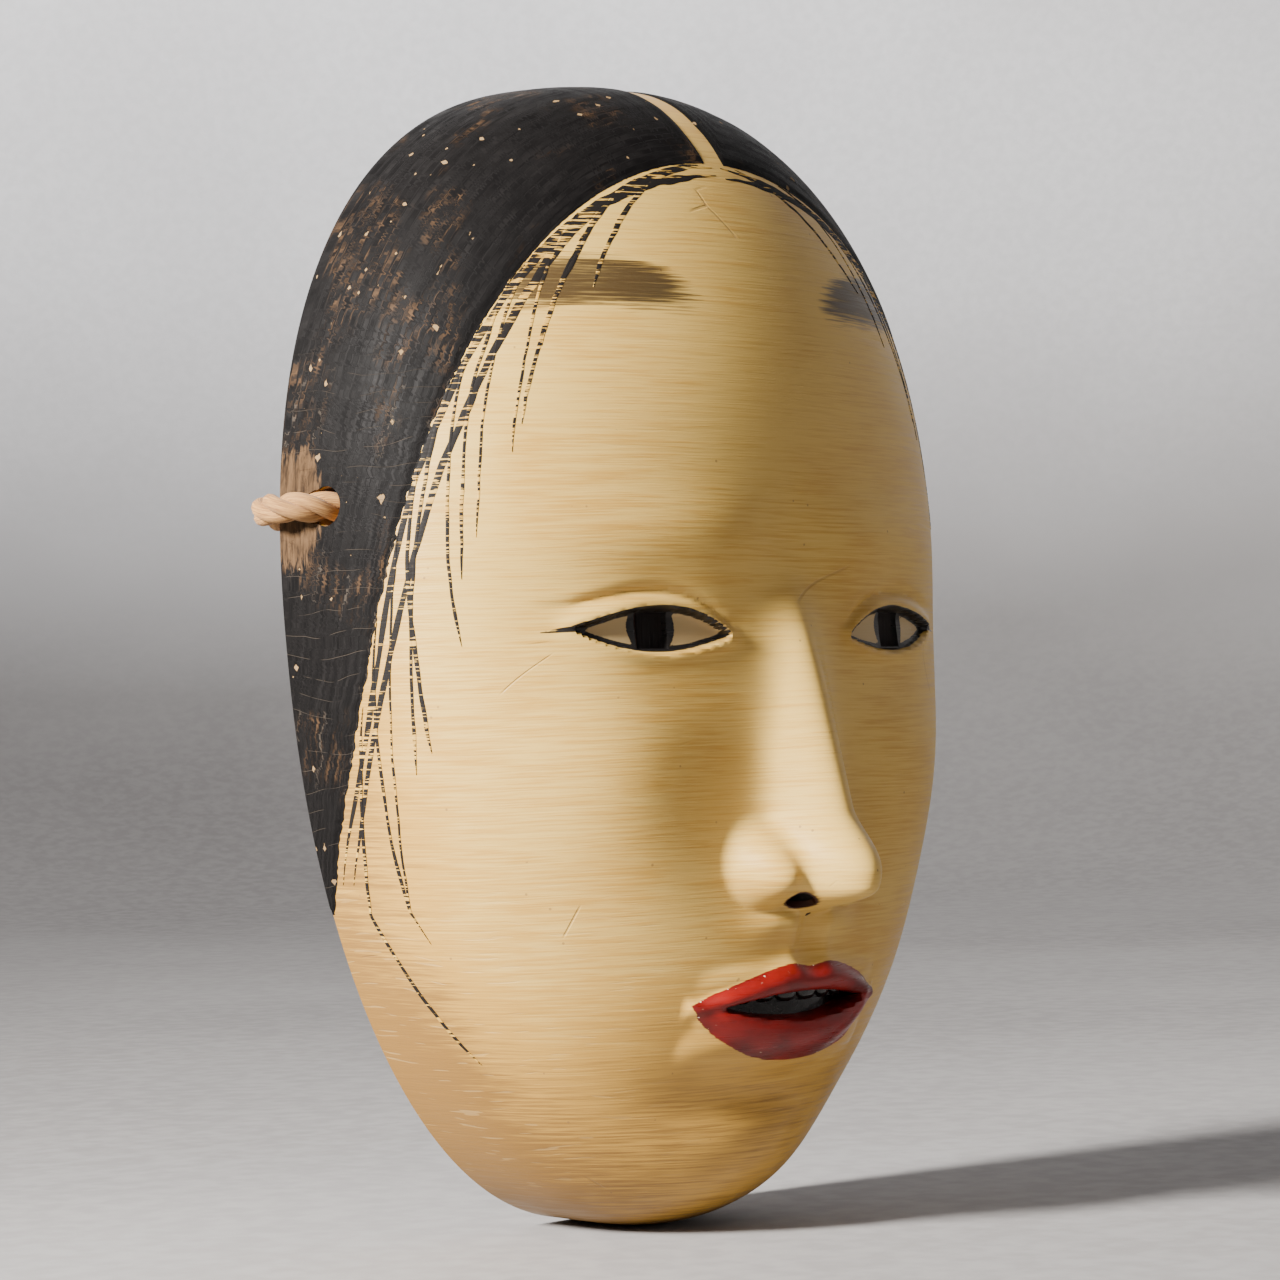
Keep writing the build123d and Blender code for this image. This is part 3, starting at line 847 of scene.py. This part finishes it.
def rope(name, line, thickness=1.0, phase=0.0):
    """Twisted strands along a line in millimetres; thickness 1 is the cord's own."""
    line, places = evenly(line, 0.55)
    ahead = np.gradient(line, axis=0)
    ahead /= np.linalg.norm(ahead, axis=1, keepdims=True)
    side = np.cross(ahead[0], [0.31, 0.52, 0.79])
    sides = []
    for way in ahead:
        side = side - way * (side @ way)
        side /= np.linalg.norm(side)
        sides.append(side)
    sides = np.array(sides)
    others = np.cross(ahead, sides)
    wobble = 1 + 0.05 * value_noise(places, 6.0, SEED)
    strands = []
    for strand in range(STRANDS):
        turn = 2 * np.pi * (places / (STRAND_PITCH * thickness) + strand / STRANDS) + phase
        reach = STRAND_OFFSET * thickness * wobble
        offset = np.cos(turn)[:, None] * sides + np.sin(turn)[:, None] * others
        strands.append(line + reach[:, None] * offset)
    yarns, count = 9, 22

    def radii(ring, rings, turn):
        ends = min(1.0, 0.35 + 0.25 * min(ring, rings - 1 - ring))
        twist = ring * 0.55 / 5.0
        yarn = np.abs(np.sin(0.5 * yarns * turn + twist * np.pi))
        return STRAND_RADIUS * thickness * ends * (0.93 + 0.09 * yarn)

    piece = tube(name, strands, radii, count)
    around_strand = np.tile(np.arange(count) / count, len(places) * STRANDS)
    along = np.tile(np.repeat(places, count), STRANDS)
    which = np.repeat(np.arange(STRANDS), len(places) * count)
    twist = along / 10.0
    attribute(piece, "yarn", np.stack([along, 8 * around_strand + 2 * twist, which * 10.0], 1))
    # painted shade: a mask that is strong near the cord's middle, where the strands meet
    centre = np.concatenate([np.repeat(line, count, 0)] * STRANDS)
    reach = np.linalg.norm(vertices(piece) - centre, axis=1)
    depth = 1 - smooth_step(0.9 * thickness, 2.3 * thickness, reach)
    attribute(piece, "crevice_shade", depth)
    return smooth_shaded(piece, 60)


cord_line = curve_points(CORD_ROUTE)
hemp = hemp_look()
cord = rope("hanging_cord_rope", cord_line / MM)


def knot(name, end, side):
    """An overhand knot pulled tight, with a short tail."""
    t = np.linspace(0.12, 2 * np.pi - 0.12, 160)
    ring, lean, squeeze = 3.3, 1.75, 0.74
    out = ring + lean * np.cos(3 * t)
    loop = np.stack([side * 1.9 * np.sin(3 * t), out * np.cos(2 * t), out * np.sin(2 * t)], 1)
    middle = np.array(end) / MM + np.array([side * 4.6, 0, 0])
    knotted = loop + middle
    piece = rope(name, knotted, squeeze)
    start = middle + np.array([side * 1.0, 0.5, -2.0])
    tail = np.array([(0, 0, 0), (1.5, -1, -4), (2.8, -1.6, -9), (2.2, -1.2, -15)])
    tail = start + tail * np.array([side, 1, 1])
    stub = rope(name + "_tail", curve_points(tail * MM) / MM, 0.8, 1.0)
    with bpy.context.temp_override(active_object=piece, selected_editable_objects=[piece, stub]):
        bpy.ops.object.join()
    return piece


left_knot = knot("left_overhand_knot", CORD_ROUTE[0], 1)
right_knot = knot("right_overhand_knot", CORD_ROUTE[-1], -1)
finish_piece(left_knot, "hemp", hemp, "left_stop_knot")
finish_piece(right_knot, "hemp", hemp, "right_stop_knot")
finish_piece(cord, "hemp", hemp, "hanging_cord")
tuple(CORD_ROUTE[0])


# ---------------------------------------------------------------- cutters
def lens_outline(half, rise, drop, shrink, count=28):
    """Outline of the mouth's opening, smaller all round by shrink."""
    across = np.linspace(-1, 1, count)
    upper = [((half - shrink) * t, MOUTH_Z + (rise - shrink) * (1 - t * t)) for t in across]
    lower = [((half - shrink) * t, MOUTH_Z - (drop - shrink) * (1 - t * t)) for t in across[-2:0:-1]]
    return upper + lower


def straight_tube(name, start, end, across, radii, sides=36):
    """A straight tube with an elliptic section; across is the direction of its first radius."""
    start, end, across = Vector(start), Vector(end), Vector(across)
    other = (end - start).normalized().cross(across)
    turns = [2 * math.pi * i / sides for i in range(sides)]
    ring = [across * radii[0] * math.cos(t) + other * radii[1] * math.sin(t) for t in turns]
    points = [start + r for r in ring] + [end + r for r in ring]
    faces = [list(range(sides)), list(range(sides, 2 * sides))[::-1]]
    faces += [[i, i + sides, (i + 1) % sides + sides, (i + 1) % sides] for i in range(sides)]
    return right_way_out(mesh_object(name, points, faces))


def cord_cutters():
    """What the cord takes out of the side walls: its round holes, and its own groove."""
    cutters = []
    for side in -1, 1:
        start, end = (side * 52, HOLE_Y, HOLE_Z), (side * 80, HOLE_Y, HOLE_Z)
        radii = (CORD_HOLE / 2, CORD_HOLE / 2)
        cutters.append(straight_tube("hole", start, end, (0, 1, 0), radii))
    line, _ = evenly(cord_line / MM, 1.5)
    groove = tube("groove", [line], lambda ring, rings, turn: np.full(len(turn), 3.0), 16)
    cutters.append(right_way_out(groove))
    return cutters


def face_cutters(room, mouth):
    """Sight holes and nostrils, with this much room all round, and the mouth by its outline."""
    half = SIGHT_HOLE / 2 + room
    corners = (-half, -half), (half, -half), (half, half), (-half, half)
    radii = [radius + room for radius in NOSTRIL_RADII]
    cutters = []
    for side in -1, 1:
        outline = [(side * EYE_X + x, EYE_Z + z) for x, z in corners]
        cutters.append(right_way_out(prism("sight", outline, -90, -10)))
        nostril = Vector((side * NOSTRIL_AT[0], *NOSTRIL_AT[1:]))
        end = nostril + 30 * NOSTRIL_WAY
        cutters.append(straight_tube("nostril", nostril, end, (1, 0, 0), radii))
    cutters.append(right_way_out(prism("mouth", mouth, -90, -20)))
    return cutters


def drop(objects):
    for thing in objects:
        bpy.data.objects.remove(thing)


rope_cutters = cord_cutters()

# ---------------------------------------------------------------- ground
columns = crowded(211, [(-0.27, 0.16), (0.27, 0.16), (0.0, 0.22)], 1.3)
rows = crowded(301, [(0.02, 0.09), (-0.40, 0.14), (-0.22, 0.12)], 2.0)
disc_u, disc_v = disc(rows, columns)
outer = front(disc_u, disc_v)
inner = carving(disc_u, disc_v)
outer[[0, -1], :, 1] = 0
outer[:, [0, -1], 1] = 0
inner[[0, -1], :, 1] = 0
inner[:, [0, -1], 1] = 0
ground = right_way_out(shell("gofun_face", outer, inner, 2))
openings = face_cutters(0, lens_outline(OPENING_HALF, OPENING_UP, OPENING_DOWN, 0.35))
cut(ground, openings + rope_cutters)
drop(openings)


def eye_ink(x, z):
    """Rough distance inside the ink of the eyes: outline, tails and the ring round the hole."""
    side = np.abs(x)
    upper, lower = eye_lines(x)
    t = np.clip((side - EYE_X) / EYE_HALF, -1, 1)
    inside = np.minimum(upper + 0.25 - z, z - lower + 0.25)
    upper_line = 1.30 + 0.40 * t
    lower_line = 1.00 + 0.20 * t
    hollow_part = np.minimum(upper + 0.25 - upper_line - z, z - lower + 0.25 - lower_line)
    ring = 4.7 - np.hypot(side - EYE_X, (z - EYE_Z - 0.6) * 0.95)
    outline = np.minimum(inside, -hollow_part)
    iris = np.minimum(ring, inside)
    ends = EYE_HALF - 0.2 - np.abs(side - EYE_X)
    outline, inside = np.minimum(outline, ends), np.minimum(inside, ends)
    tail_t = np.clip((side - EYE_X - EYE_HALF + 3.0) / 8.0, 0, 1)
    tail_z = EYE_Z + 0.75 - 0.9 * tail_t
    tail = 0.75 * (1 - tail_t) ** 0.8 - np.abs(z - tail_z)
    tail = np.where((tail_t > 0) & (tail_t < 1), tail, -1)
    return np.maximum(np.maximum(outline, iris), tail), inside


points = vertices(ground)
x, y, z = points.T
side = np.abs(x)
ink, eye_inside = eye_ink(x, z)
facing = y < -20
ink = np.where(facing, ink, -1)
top, bottom = lip_lines(x)
inside_opening = lens(x, z, OPENING_HALF, OPENING_UP, OPENING_DOWN)
lip = np.minimum(np.minimum(top - z, z - bottom), 3 * (MOUTH_HALF + 0.3 - side))
# The tone: darker amber towards the rim and the bottom; painted shade in the hollows at the eyes' inner
# corners and beside the nostrils; a painted highlight down the middle of the nose and the forehead.
tone_and_shade = 0.20 + 0.78 * smooth_step(-38, -2, y) + 0.55 * smooth_step(-36, -96, z)
tone_and_shade -= 0.18 * mound(x, z, 0, -20, 13, 34) + 0.10 * mound(x, z, 0, 55, 45, 28)
tone_and_shade += 0.18 * mound(side, z, 15, 5, 7, 9) + 0.22 * mound(side, z, 15, -46, 5, 8)
attribute(ground, "tone_and_shade", tone_and_shade)
attribute(ground, "rubbed", 0.25 + 0.75 * smooth_step(-30, -60, z) * smooth_step(20, 34, side))
brow_across = (side - 33) / 17.0
brow_up = (z - 62 - 2.5 * (1 - brow_across**2)) / 5.2
brow = np.clip(1.25 - np.abs(brow_across) ** 2.5 * 0.9 - np.abs(brow_up) ** 2, 0, 1)
attribute(ground, "brow", brow)
attribute(ground, "lip", np.where(facing, lip, -1))
attribute(ground, "eye_ink", ink)
attribute(ground, "eye_white", np.where(facing, eye_inside, -1))
# painted shade inside the nostrils and, with the mouth's dark lacquer, inside the mouth's opening
nostril_across = (side - NOSTRIL_AT[0]) / NOSTRIL_RADII[0]
nostril_rise = (y - NOSTRIL_AT[1]) * NOSTRIL_WAY.z - (z - NOSTRIL_AT[2]) * NOSTRIL_WAY.y
nostril = smooth_step(1.30, 1.02, np.hypot(nostril_across, nostril_rise / NOSTRIL_RADII[1]))
along_nostril = (y - NOSTRIL_AT[1]) * NOSTRIL_WAY.y + (z - NOSTRIL_AT[2]) * NOSTRIL_WAY.z
nostril *= (along_nostril > 0.3) & (z < -25)
inside_mouth = smooth_step(0.1, 0.8, inside_opening) * (y < -20)
attribute(ground, "deep", np.maximum(inside_mouth, nostril))
smooth_shaded(ground, 42)
finish_piece(ground, "gofun", ground_look(), "gofun_ground")


# ---------------------------------------------------------------- hair
def hair_edge(away):
    t = np.clip(away / HAIR_SWEEP, 0, 1)
    return HAIRLINE_RHO + (0.995 - HAIRLINE_RHO) * t**2.6


def hair_shell(name, side, seed):
    along, inward = np.meshgrid(np.linspace(0, 1, 521), np.linspace(0, 1, 57), indexing="ij")
    inward = 1 - (1 - inward) ** 1.25
    fringe = 0.0006 + 0.0030 * smooth_step(0.40, 0.58, along)
    ragged = fringe * value_noise(along * 260, 0.9, seed)
    edge = np.minimum(hair_edge(along * HAIR_SWEEP) + ragged, 0.997)
    rho = 1 - inward * (1 - edge)
    bare = PARTING_HALF / (HALF_WIDTH * 1.14 * np.sin(rho * np.pi / 2))
    bare = bare * (1 + 0.06 * value_noise(rho * 110, 2.0, seed + 2))
    angle = bare * (1 - along) ** 2 + np.radians(HAIR_SWEEP) * along
    u, v = side * rho * np.sin(angle), rho * np.cos(angle)
    margin = np.minimum((rho - edge) * 95, along * 230)
    relief = 0.04 + 0.26 * smooth_step(0.0, 1.6, margin)
    relief += 0.05 * value_noise(inward * 45, 1.6, seed + 3) * smooth_step(1, 4, margin)
    above = pushed(front, u, v, relief)
    below = pushed(front, u, v, np.full_like(relief, -0.15))
    above[:, 0, 1] = 0
    below[:, 0, 1] = 0
    piece = right_way_out(shell(name, above, below, 4))
    cut(piece, rope_cutters)
    place = vertices(piece)
    tree = tree_of(above[::2, ::2].reshape(-1, 3))
    nearest = np.array([tree.find(point)[1] for point in place])
    flow = np.stack([along * 240, margin, np.full_like(along, 7.0 * side)], -1)
    attribute(piece, "flow", flow[::2, ::2].reshape(-1, 3)[nearest])
    away_z, away_y = (place[:, 2] - HOLE_Z) / 13.0, (place[:, 1] + 4.0) / 8.5
    attribute(piece, "rubbed", 0.9 - np.abs(away_z) ** 2.5 - np.abs(away_y) ** 3)
    attribute(piece, "crazed", smooth_step(58, 40, place[:, 2]))
    return smooth_shaded(piece, 50)


for name, side in ("hair_paint_left", -1), ("hair_paint_right", 1):
    hair = hair_shell(name + "_brushed", side, SEED + 20 * side + 40)
    finish_piece(hair, "hair_ink", hair_look(name + "_ink"), name)


# ---------------------------------------------------------------- loose strands of hair
BOLD_STRANDS = 2
FINE_STRANDS = 12
STRAND_GAP = 2.4             # between one bold strand and the next
FINE_ANGLES = (28, 44)       # degrees that a fine strand runs on for, least and most
FINE_FALL = (7, 11)          # how far it falls from the hairline, least and most
FINE_WIDTH = (0.36, 0.66)
REACH_PER_MM = 0.0098        # of the vault's reach from middle to rim


def strand_lines(random):
    """Each strand's width, its angles round the vault and its gaps to the hairline in mm.

    The bold ones run beside the hairline from the parting to the hair's end. The fine ones
    leave it one after the other and fall away, further down the face for the later ones.
    """
    for i in range(BOLD_STRANDS):
        away = np.linspace(1, HAIR_SWEEP - 3, 360)
        t = away / HAIR_SWEEP
        yield 1.2, away, (i + 0.5) * STRAND_GAP * (0.5 + t) + 0.6 * np.sin(9 * t + 2.5 * i)
    for i in range(FINE_STRANDS):
        leaves = 2 + 96 * (i + 0.7 * random.random()) / FINE_STRANDS
        away = np.linspace(leaves, leaves + random.uniform(*FINE_ANGLES), 150)
        t = np.linspace(0, 1, 150)
        fall = random.uniform(*FINE_FALL) + 0.13 * leaves
        yield random.uniform(*FINE_WIDTH), away, 0.4 + fall * t ** random.uniform(1.2, 1.7)


def strand_shell(name, side):
    """Every strand on one side, as closed ribbons of ink lying on the ground."""
    random = np.random.default_rng(SEED + 5 * side)
    points, faces, wetness = [], [], []
    surface = around(front)
    for layer, (width, away, gap) in enumerate(strand_lines(random)):
        count = len(away)
        t = np.linspace(0, 1, count)
        seed = int(random.integers(1000))
        gap = gap + 0.35 * value_noise(away, 9.0, seed) + 0.10 * value_noise(away, 2.0, seed + 1)
        half = 0.5 * width * (1 + 0.20 * value_noise(away, 3.0, seed + 2))
        half *= np.minimum(1, 9 * np.minimum(t, 1 - t) + 0.15)
        slope_away = np.gradient(away) * 0.9
        slope_gap = np.gradient(gap)
        length = np.hypot(slope_away, slope_gap)
        rows = []
        for offset, lift in (-1, 0.02), (0, 0.08), (1, 0.02), (1, -0.12), (-1, -0.12):
            moved_gap = gap + offset * half * slope_away / length
            moved_away = away - offset * half * slope_gap / length / 0.9
            rho = hair_edge(moved_away) - moved_gap * REACH_PER_MM
            rows.append(pushed_around(surface, side * moved_away, rho, lift + 0.006 * layer, side))
        base = len(points)
        ring = len(rows)
        points.extend(np.stack(rows, 1).reshape(-1, 3))
        index = ringed(np.arange(count * ring).reshape(count, ring) + base)
        faces.extend(quads(index).tolist())
        faces.append(index[0, :-1].tolist())
        faces.append(index[-1, :-1][::-1].tolist())
        wetness.append(np.repeat(0.44 + 0.18 * width - 0.10 * t, ring))
    piece = right_way_out(mesh_object(name, points, faces))
    attribute(piece, "ink", np.concatenate(wetness))
    return smooth_shaded(piece, 50)


def pushed_around(surface, away, rho, lift, side):
    """Points at an angle and reach, lifted along the surface's normal."""
    step = 1e-3
    here = surface(away, rho)
    round_it = surface(away + 0.1, rho) - surface(away - 0.1, rho)
    outwards = surface(away, rho + step) - surface(away, rho - step)
    normal = np.cross(outwards, round_it)
    normal /= np.linalg.norm(normal, axis=-1, keepdims=True)
    return here - lift * normal


strand_ink = strand_look()
for name, side in ("hair_strands_left", -1), ("hair_strands_right", 1):
    finish_piece(strand_shell(name, side), "hair_ink", strand_ink)


# ---------------------------------------------------------------- hollow
def gouged_lacquer():
    """The lacquered hollow, with the shallow scoops that a gouge leaves."""
    disc_u, disc_v = disc(np.linspace(-1, 1, 241), np.linspace(-1, 1, 171))
    outside = hollow(disc_u, disc_v)
    inside_points = pushed(hollow, disc_u, disc_v, -LACQUER)
    random = np.random.default_rng(SEED)
    centres = []
    for row in np.arange(-98, 99, 8.5):
        for column in np.arange(-64, 65, 6.5):
            centres.append((column + random.uniform(-2, 2), 0, row + random.uniform(-2.5, 2.5)))
    flat = inside_points * np.array([1, 0, 0.72])
    tree = tree_of([(column, 0, row * 0.72) for column, _, row in centres])
    near = [tree.find_n(point, 2) for point in flat.reshape(-1, 3)]
    first = np.array([found[0][2] for found in near]).reshape(disc_u.shape)
    second = np.array([found[1][2] for found in near]).reshape(disc_u.shape)
    rim = smooth_step(1.0, 0.93, np.hypot(disc_u, disc_v))
    scoop = np.minimum(first**2 / 26, 0.75) * rim
    normal = inside_points - outside
    normal /= np.linalg.norm(normal, axis=-1, keepdims=True)
    inside_points = inside_points + scoop[..., None] * normal
    for grid in outside, inside_points:
        grid[[0, -1], :, 1] = 0
        grid[:, [0, -1], 1] = 0
    piece = right_way_out(shell("gouged_lacquer", inside_points, outside, 2))
    openings = face_cutters(0.9, lens_outline(LINING_HALF, LINING_UP, LINING_DOWN, -0.2))
    cut(piece, openings + rope_cutters)
    drop(openings)
    ridge = (1 - smooth_step(0.0, 1.1, second - first)) * rim
    tree = tree_of(inside_points.reshape(-1, 3))
    nearest = [tree.find(point)[1] for point in vertices(piece)]
    attribute(piece, "ridge", ridge.ravel()[nearest])
    return smooth_shaded(piece, 38)


finish_piece(gouged_lacquer(), "lacquer", lacquer_look(), "inner_lacquer")
drop(rope_cutters)

# ---------------------------------------------------------------- teeth
TOOTH_WIDTHS = (5.2, 4.6, 4.6, 4.2)         # from the middle outwards
TOOTH_DEPTH = 2.1
TOOTH_HEIGHT = 7.0


def block(centre, half_sizes, turn, power, rings=14, sides=24):
    """A rounded block: points of a superellipsoid turned about Z."""
    latitude = np.linspace(-np.pi / 2, np.pi / 2, rings)[:, None]
    longitude = np.arange(sides)[None, :] * 2 * np.pi / sides

    def bent(value):
        return np.sign(value) * np.abs(value) ** power

    x = half_sizes[0] * bent(np.cos(latitude)) * bent(np.cos(longitude))
    y = half_sizes[1] * bent(np.cos(latitude)) * bent(np.sin(longitude))
    z = half_sizes[2] * bent(np.sin(latitude)) * np.ones_like(longitude)
    turned_x, turned_y = x * np.cos(turn) - y * np.sin(turn), x * np.sin(turn) + y * np.cos(turn)
    points = np.stack([turned_x, turned_y, z], -1)[1:-1].reshape(-1, 3) + np.array(centre)
    poles = np.array([[0, 0, -half_sizes[2]], [0, 0, half_sizes[2]]]) + np.array(centre)
    index = ringed(np.arange((rings - 2) * sides).reshape(rings - 2, sides))
    faces = quads(index).tolist()
    south, north = len(points), len(points) + 1
    faces += [[int(index[0, i + 1]), int(index[0, i]), south] for i in range(sides)]
    faces += [[int(index[-1, i]), int(index[-1, i + 1]), north] for i in range(sides)]
    return np.concatenate([points, poles]), faces


def tooth_row():
    points, faces = [], []

    def put(new_points, new_faces):
        base = len(points)
        points.extend(new_points)
        faces.extend([[corner + base for corner in face] for face in new_faces])

    middle_y = TEETH_FRONT_Y + TEETH_RADIUS
    for side in -1, 1:
        along = 0.0
        for place, width in enumerate(TOOTH_WIDTHS):
            turn = side * (along + width / 2) / TEETH_RADIUS
            along += width
            reach = TEETH_RADIUS + 0.4 - TOOTH_DEPTH
            centre = (reach * math.sin(turn), middle_y - reach * math.cos(turn),
                      TEETH_BOTTOM_Z + TOOTH_HEIGHT / 2 + 0.12 * (place % 2))
            put(*block(centre, (width * 0.52, TOOTH_DEPTH, TOOTH_HEIGHT / 2), turn, 0.62))
    # dark bars behind the teeth: one over the wooden ridge, the teeth's blacking, running on past the
    # ridge's ends; and one below it behind the lip. Past the ridge and behind the lip they are dark sheets
    # that stand in for the shade inside the mouth.
    turns = np.linspace(-0.62, 0.62, 41)
    for outer, low, high in (-0.85, 0.35, 6.2), (-2.0, -3.2, 0.25):
        outer, inner = TEETH_RADIUS + outer, TEETH_RADIUS - 4.1
        low, high = TEETH_BOTTOM_Z + low, TEETH_BOTTOM_Z + high
        ring = [(outer, low), (outer, high), (inner, high), (inner, low)]
        bar = [(r * math.sin(t), middle_y - r * math.cos(t), h) for t in turns for r, h in ring]
        index = ringed(np.arange(len(bar)).reshape(-1, 4))
        put(bar, quads(index).tolist() + [index[0, :-1].tolist(), index[-1, :-1][::-1].tolist()])
    return smooth_shaded(right_way_out(mesh_object("black_teeth", points, faces)), 50)


finish_piece(tooth_row(), "tooth_black", teeth_look(), "teeth_blacking")

# ---------------------------------------------------------------- wood
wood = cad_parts["wood_core"]
wood.data.materials.clear()
wood.data.materials.append(wood_look())


# ---------------------------------------------------------------- stage and lights
def backdrop(floor_z):
    """A floor that sweeps up all round into a pale wall; the floor is painted darker, as painted shade."""
    flat, radius, height = 1.0, 0.6, 2.4
    profile = [(0.0, 0.0), (0.3, 0.0), (flat, 0.0)]
    profile += [
        (flat + radius * math.sin(a), radius * (1 - math.cos(a)))
        for a in np.linspace(0, math.pi / 2, 13)[1:]
    ]
    profile.append((flat + radius, height))
    sides = 96
    points = [(0, 0, floor_z / MM)]
    for reach, rise in profile[1:]:
        for i in range(sides):
            t = 2 * math.pi * i / sides
            points.append((reach / MM * math.cos(t), reach / MM * math.sin(t), (floor_z + rise) / MM))
    index = ringed(np.arange((len(profile) - 1) * sides).reshape(-1, sides) + 1)
    faces = quads(index)[:, ::-1].tolist()
    faces += [[0, int(index[0, i]), int(index[0, i + 1])] for i in range(sides)]
    floor = mesh_object("backdrop", points, faces)
    floor.data.shade_smooth()
    floor.data.materials.append(stage_look())
    floor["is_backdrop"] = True


backdrop(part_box("gofun_ground")[0][2])


def area_light(name, place, size, watts, colour, spread=180, away=False):
    """A round light that faces the mask, or away from it."""
    light = bpy.data.lights.new(name, "AREA")
    light.shape = "DISK"
    light.size = size
    light.energy = watts
    light.color = colour
    light.spread = math.radians(spread)
    lamp = bpy.data.objects.new(name, light)
    facing = -Vector(place) if away else Vector(place)
    lamp.matrix_world = Matrix.Translation(place) @ facing.to_track_quat("Z", "Y").to_matrix().to_4x4()
    bpy.context.scene.collection.objects.link(lamp)
    lamp.visible_camera = False


def from_camera(across, above, towards, distance):
    """A place given by how far it lies right of, above and towards the camera."""
    way = (level * across + Vector((0, 0, 1)) * above + back * towards).normalized()
    return way * distance


area_light("key", from_camera(-0.80, 0.50, 0.64, 1.15), 0.26, 13.8, (1.0, 0.97, 0.93), spread=80)
area_light("fill", from_camera(0.9, 0.2, 0.9, 1.3), 0.8, 0.5, (0.93, 0.96, 1.0))
area_light("wall", from_camera(-0.1, 0.55, -0.5, 0.9), 0.5, 34, (0.97, 0.98, 1.0), away=True)
world = bpy.data.worlds.new("studio")
world.use_nodes = True
world.node_tree.nodes["Background"].inputs["Color"].default_value = (0.86, 0.88, 0.92, 1)
world.node_tree.nodes["Background"].inputs["Strength"].default_value = 0.10
bpy.context.scene.world = world

# ---------------------------------------------------------------- end
sizes = {"cad": cad_box, "visual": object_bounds()}
{name: [list(corner) for corner in box] for name, box in sizes.items()}
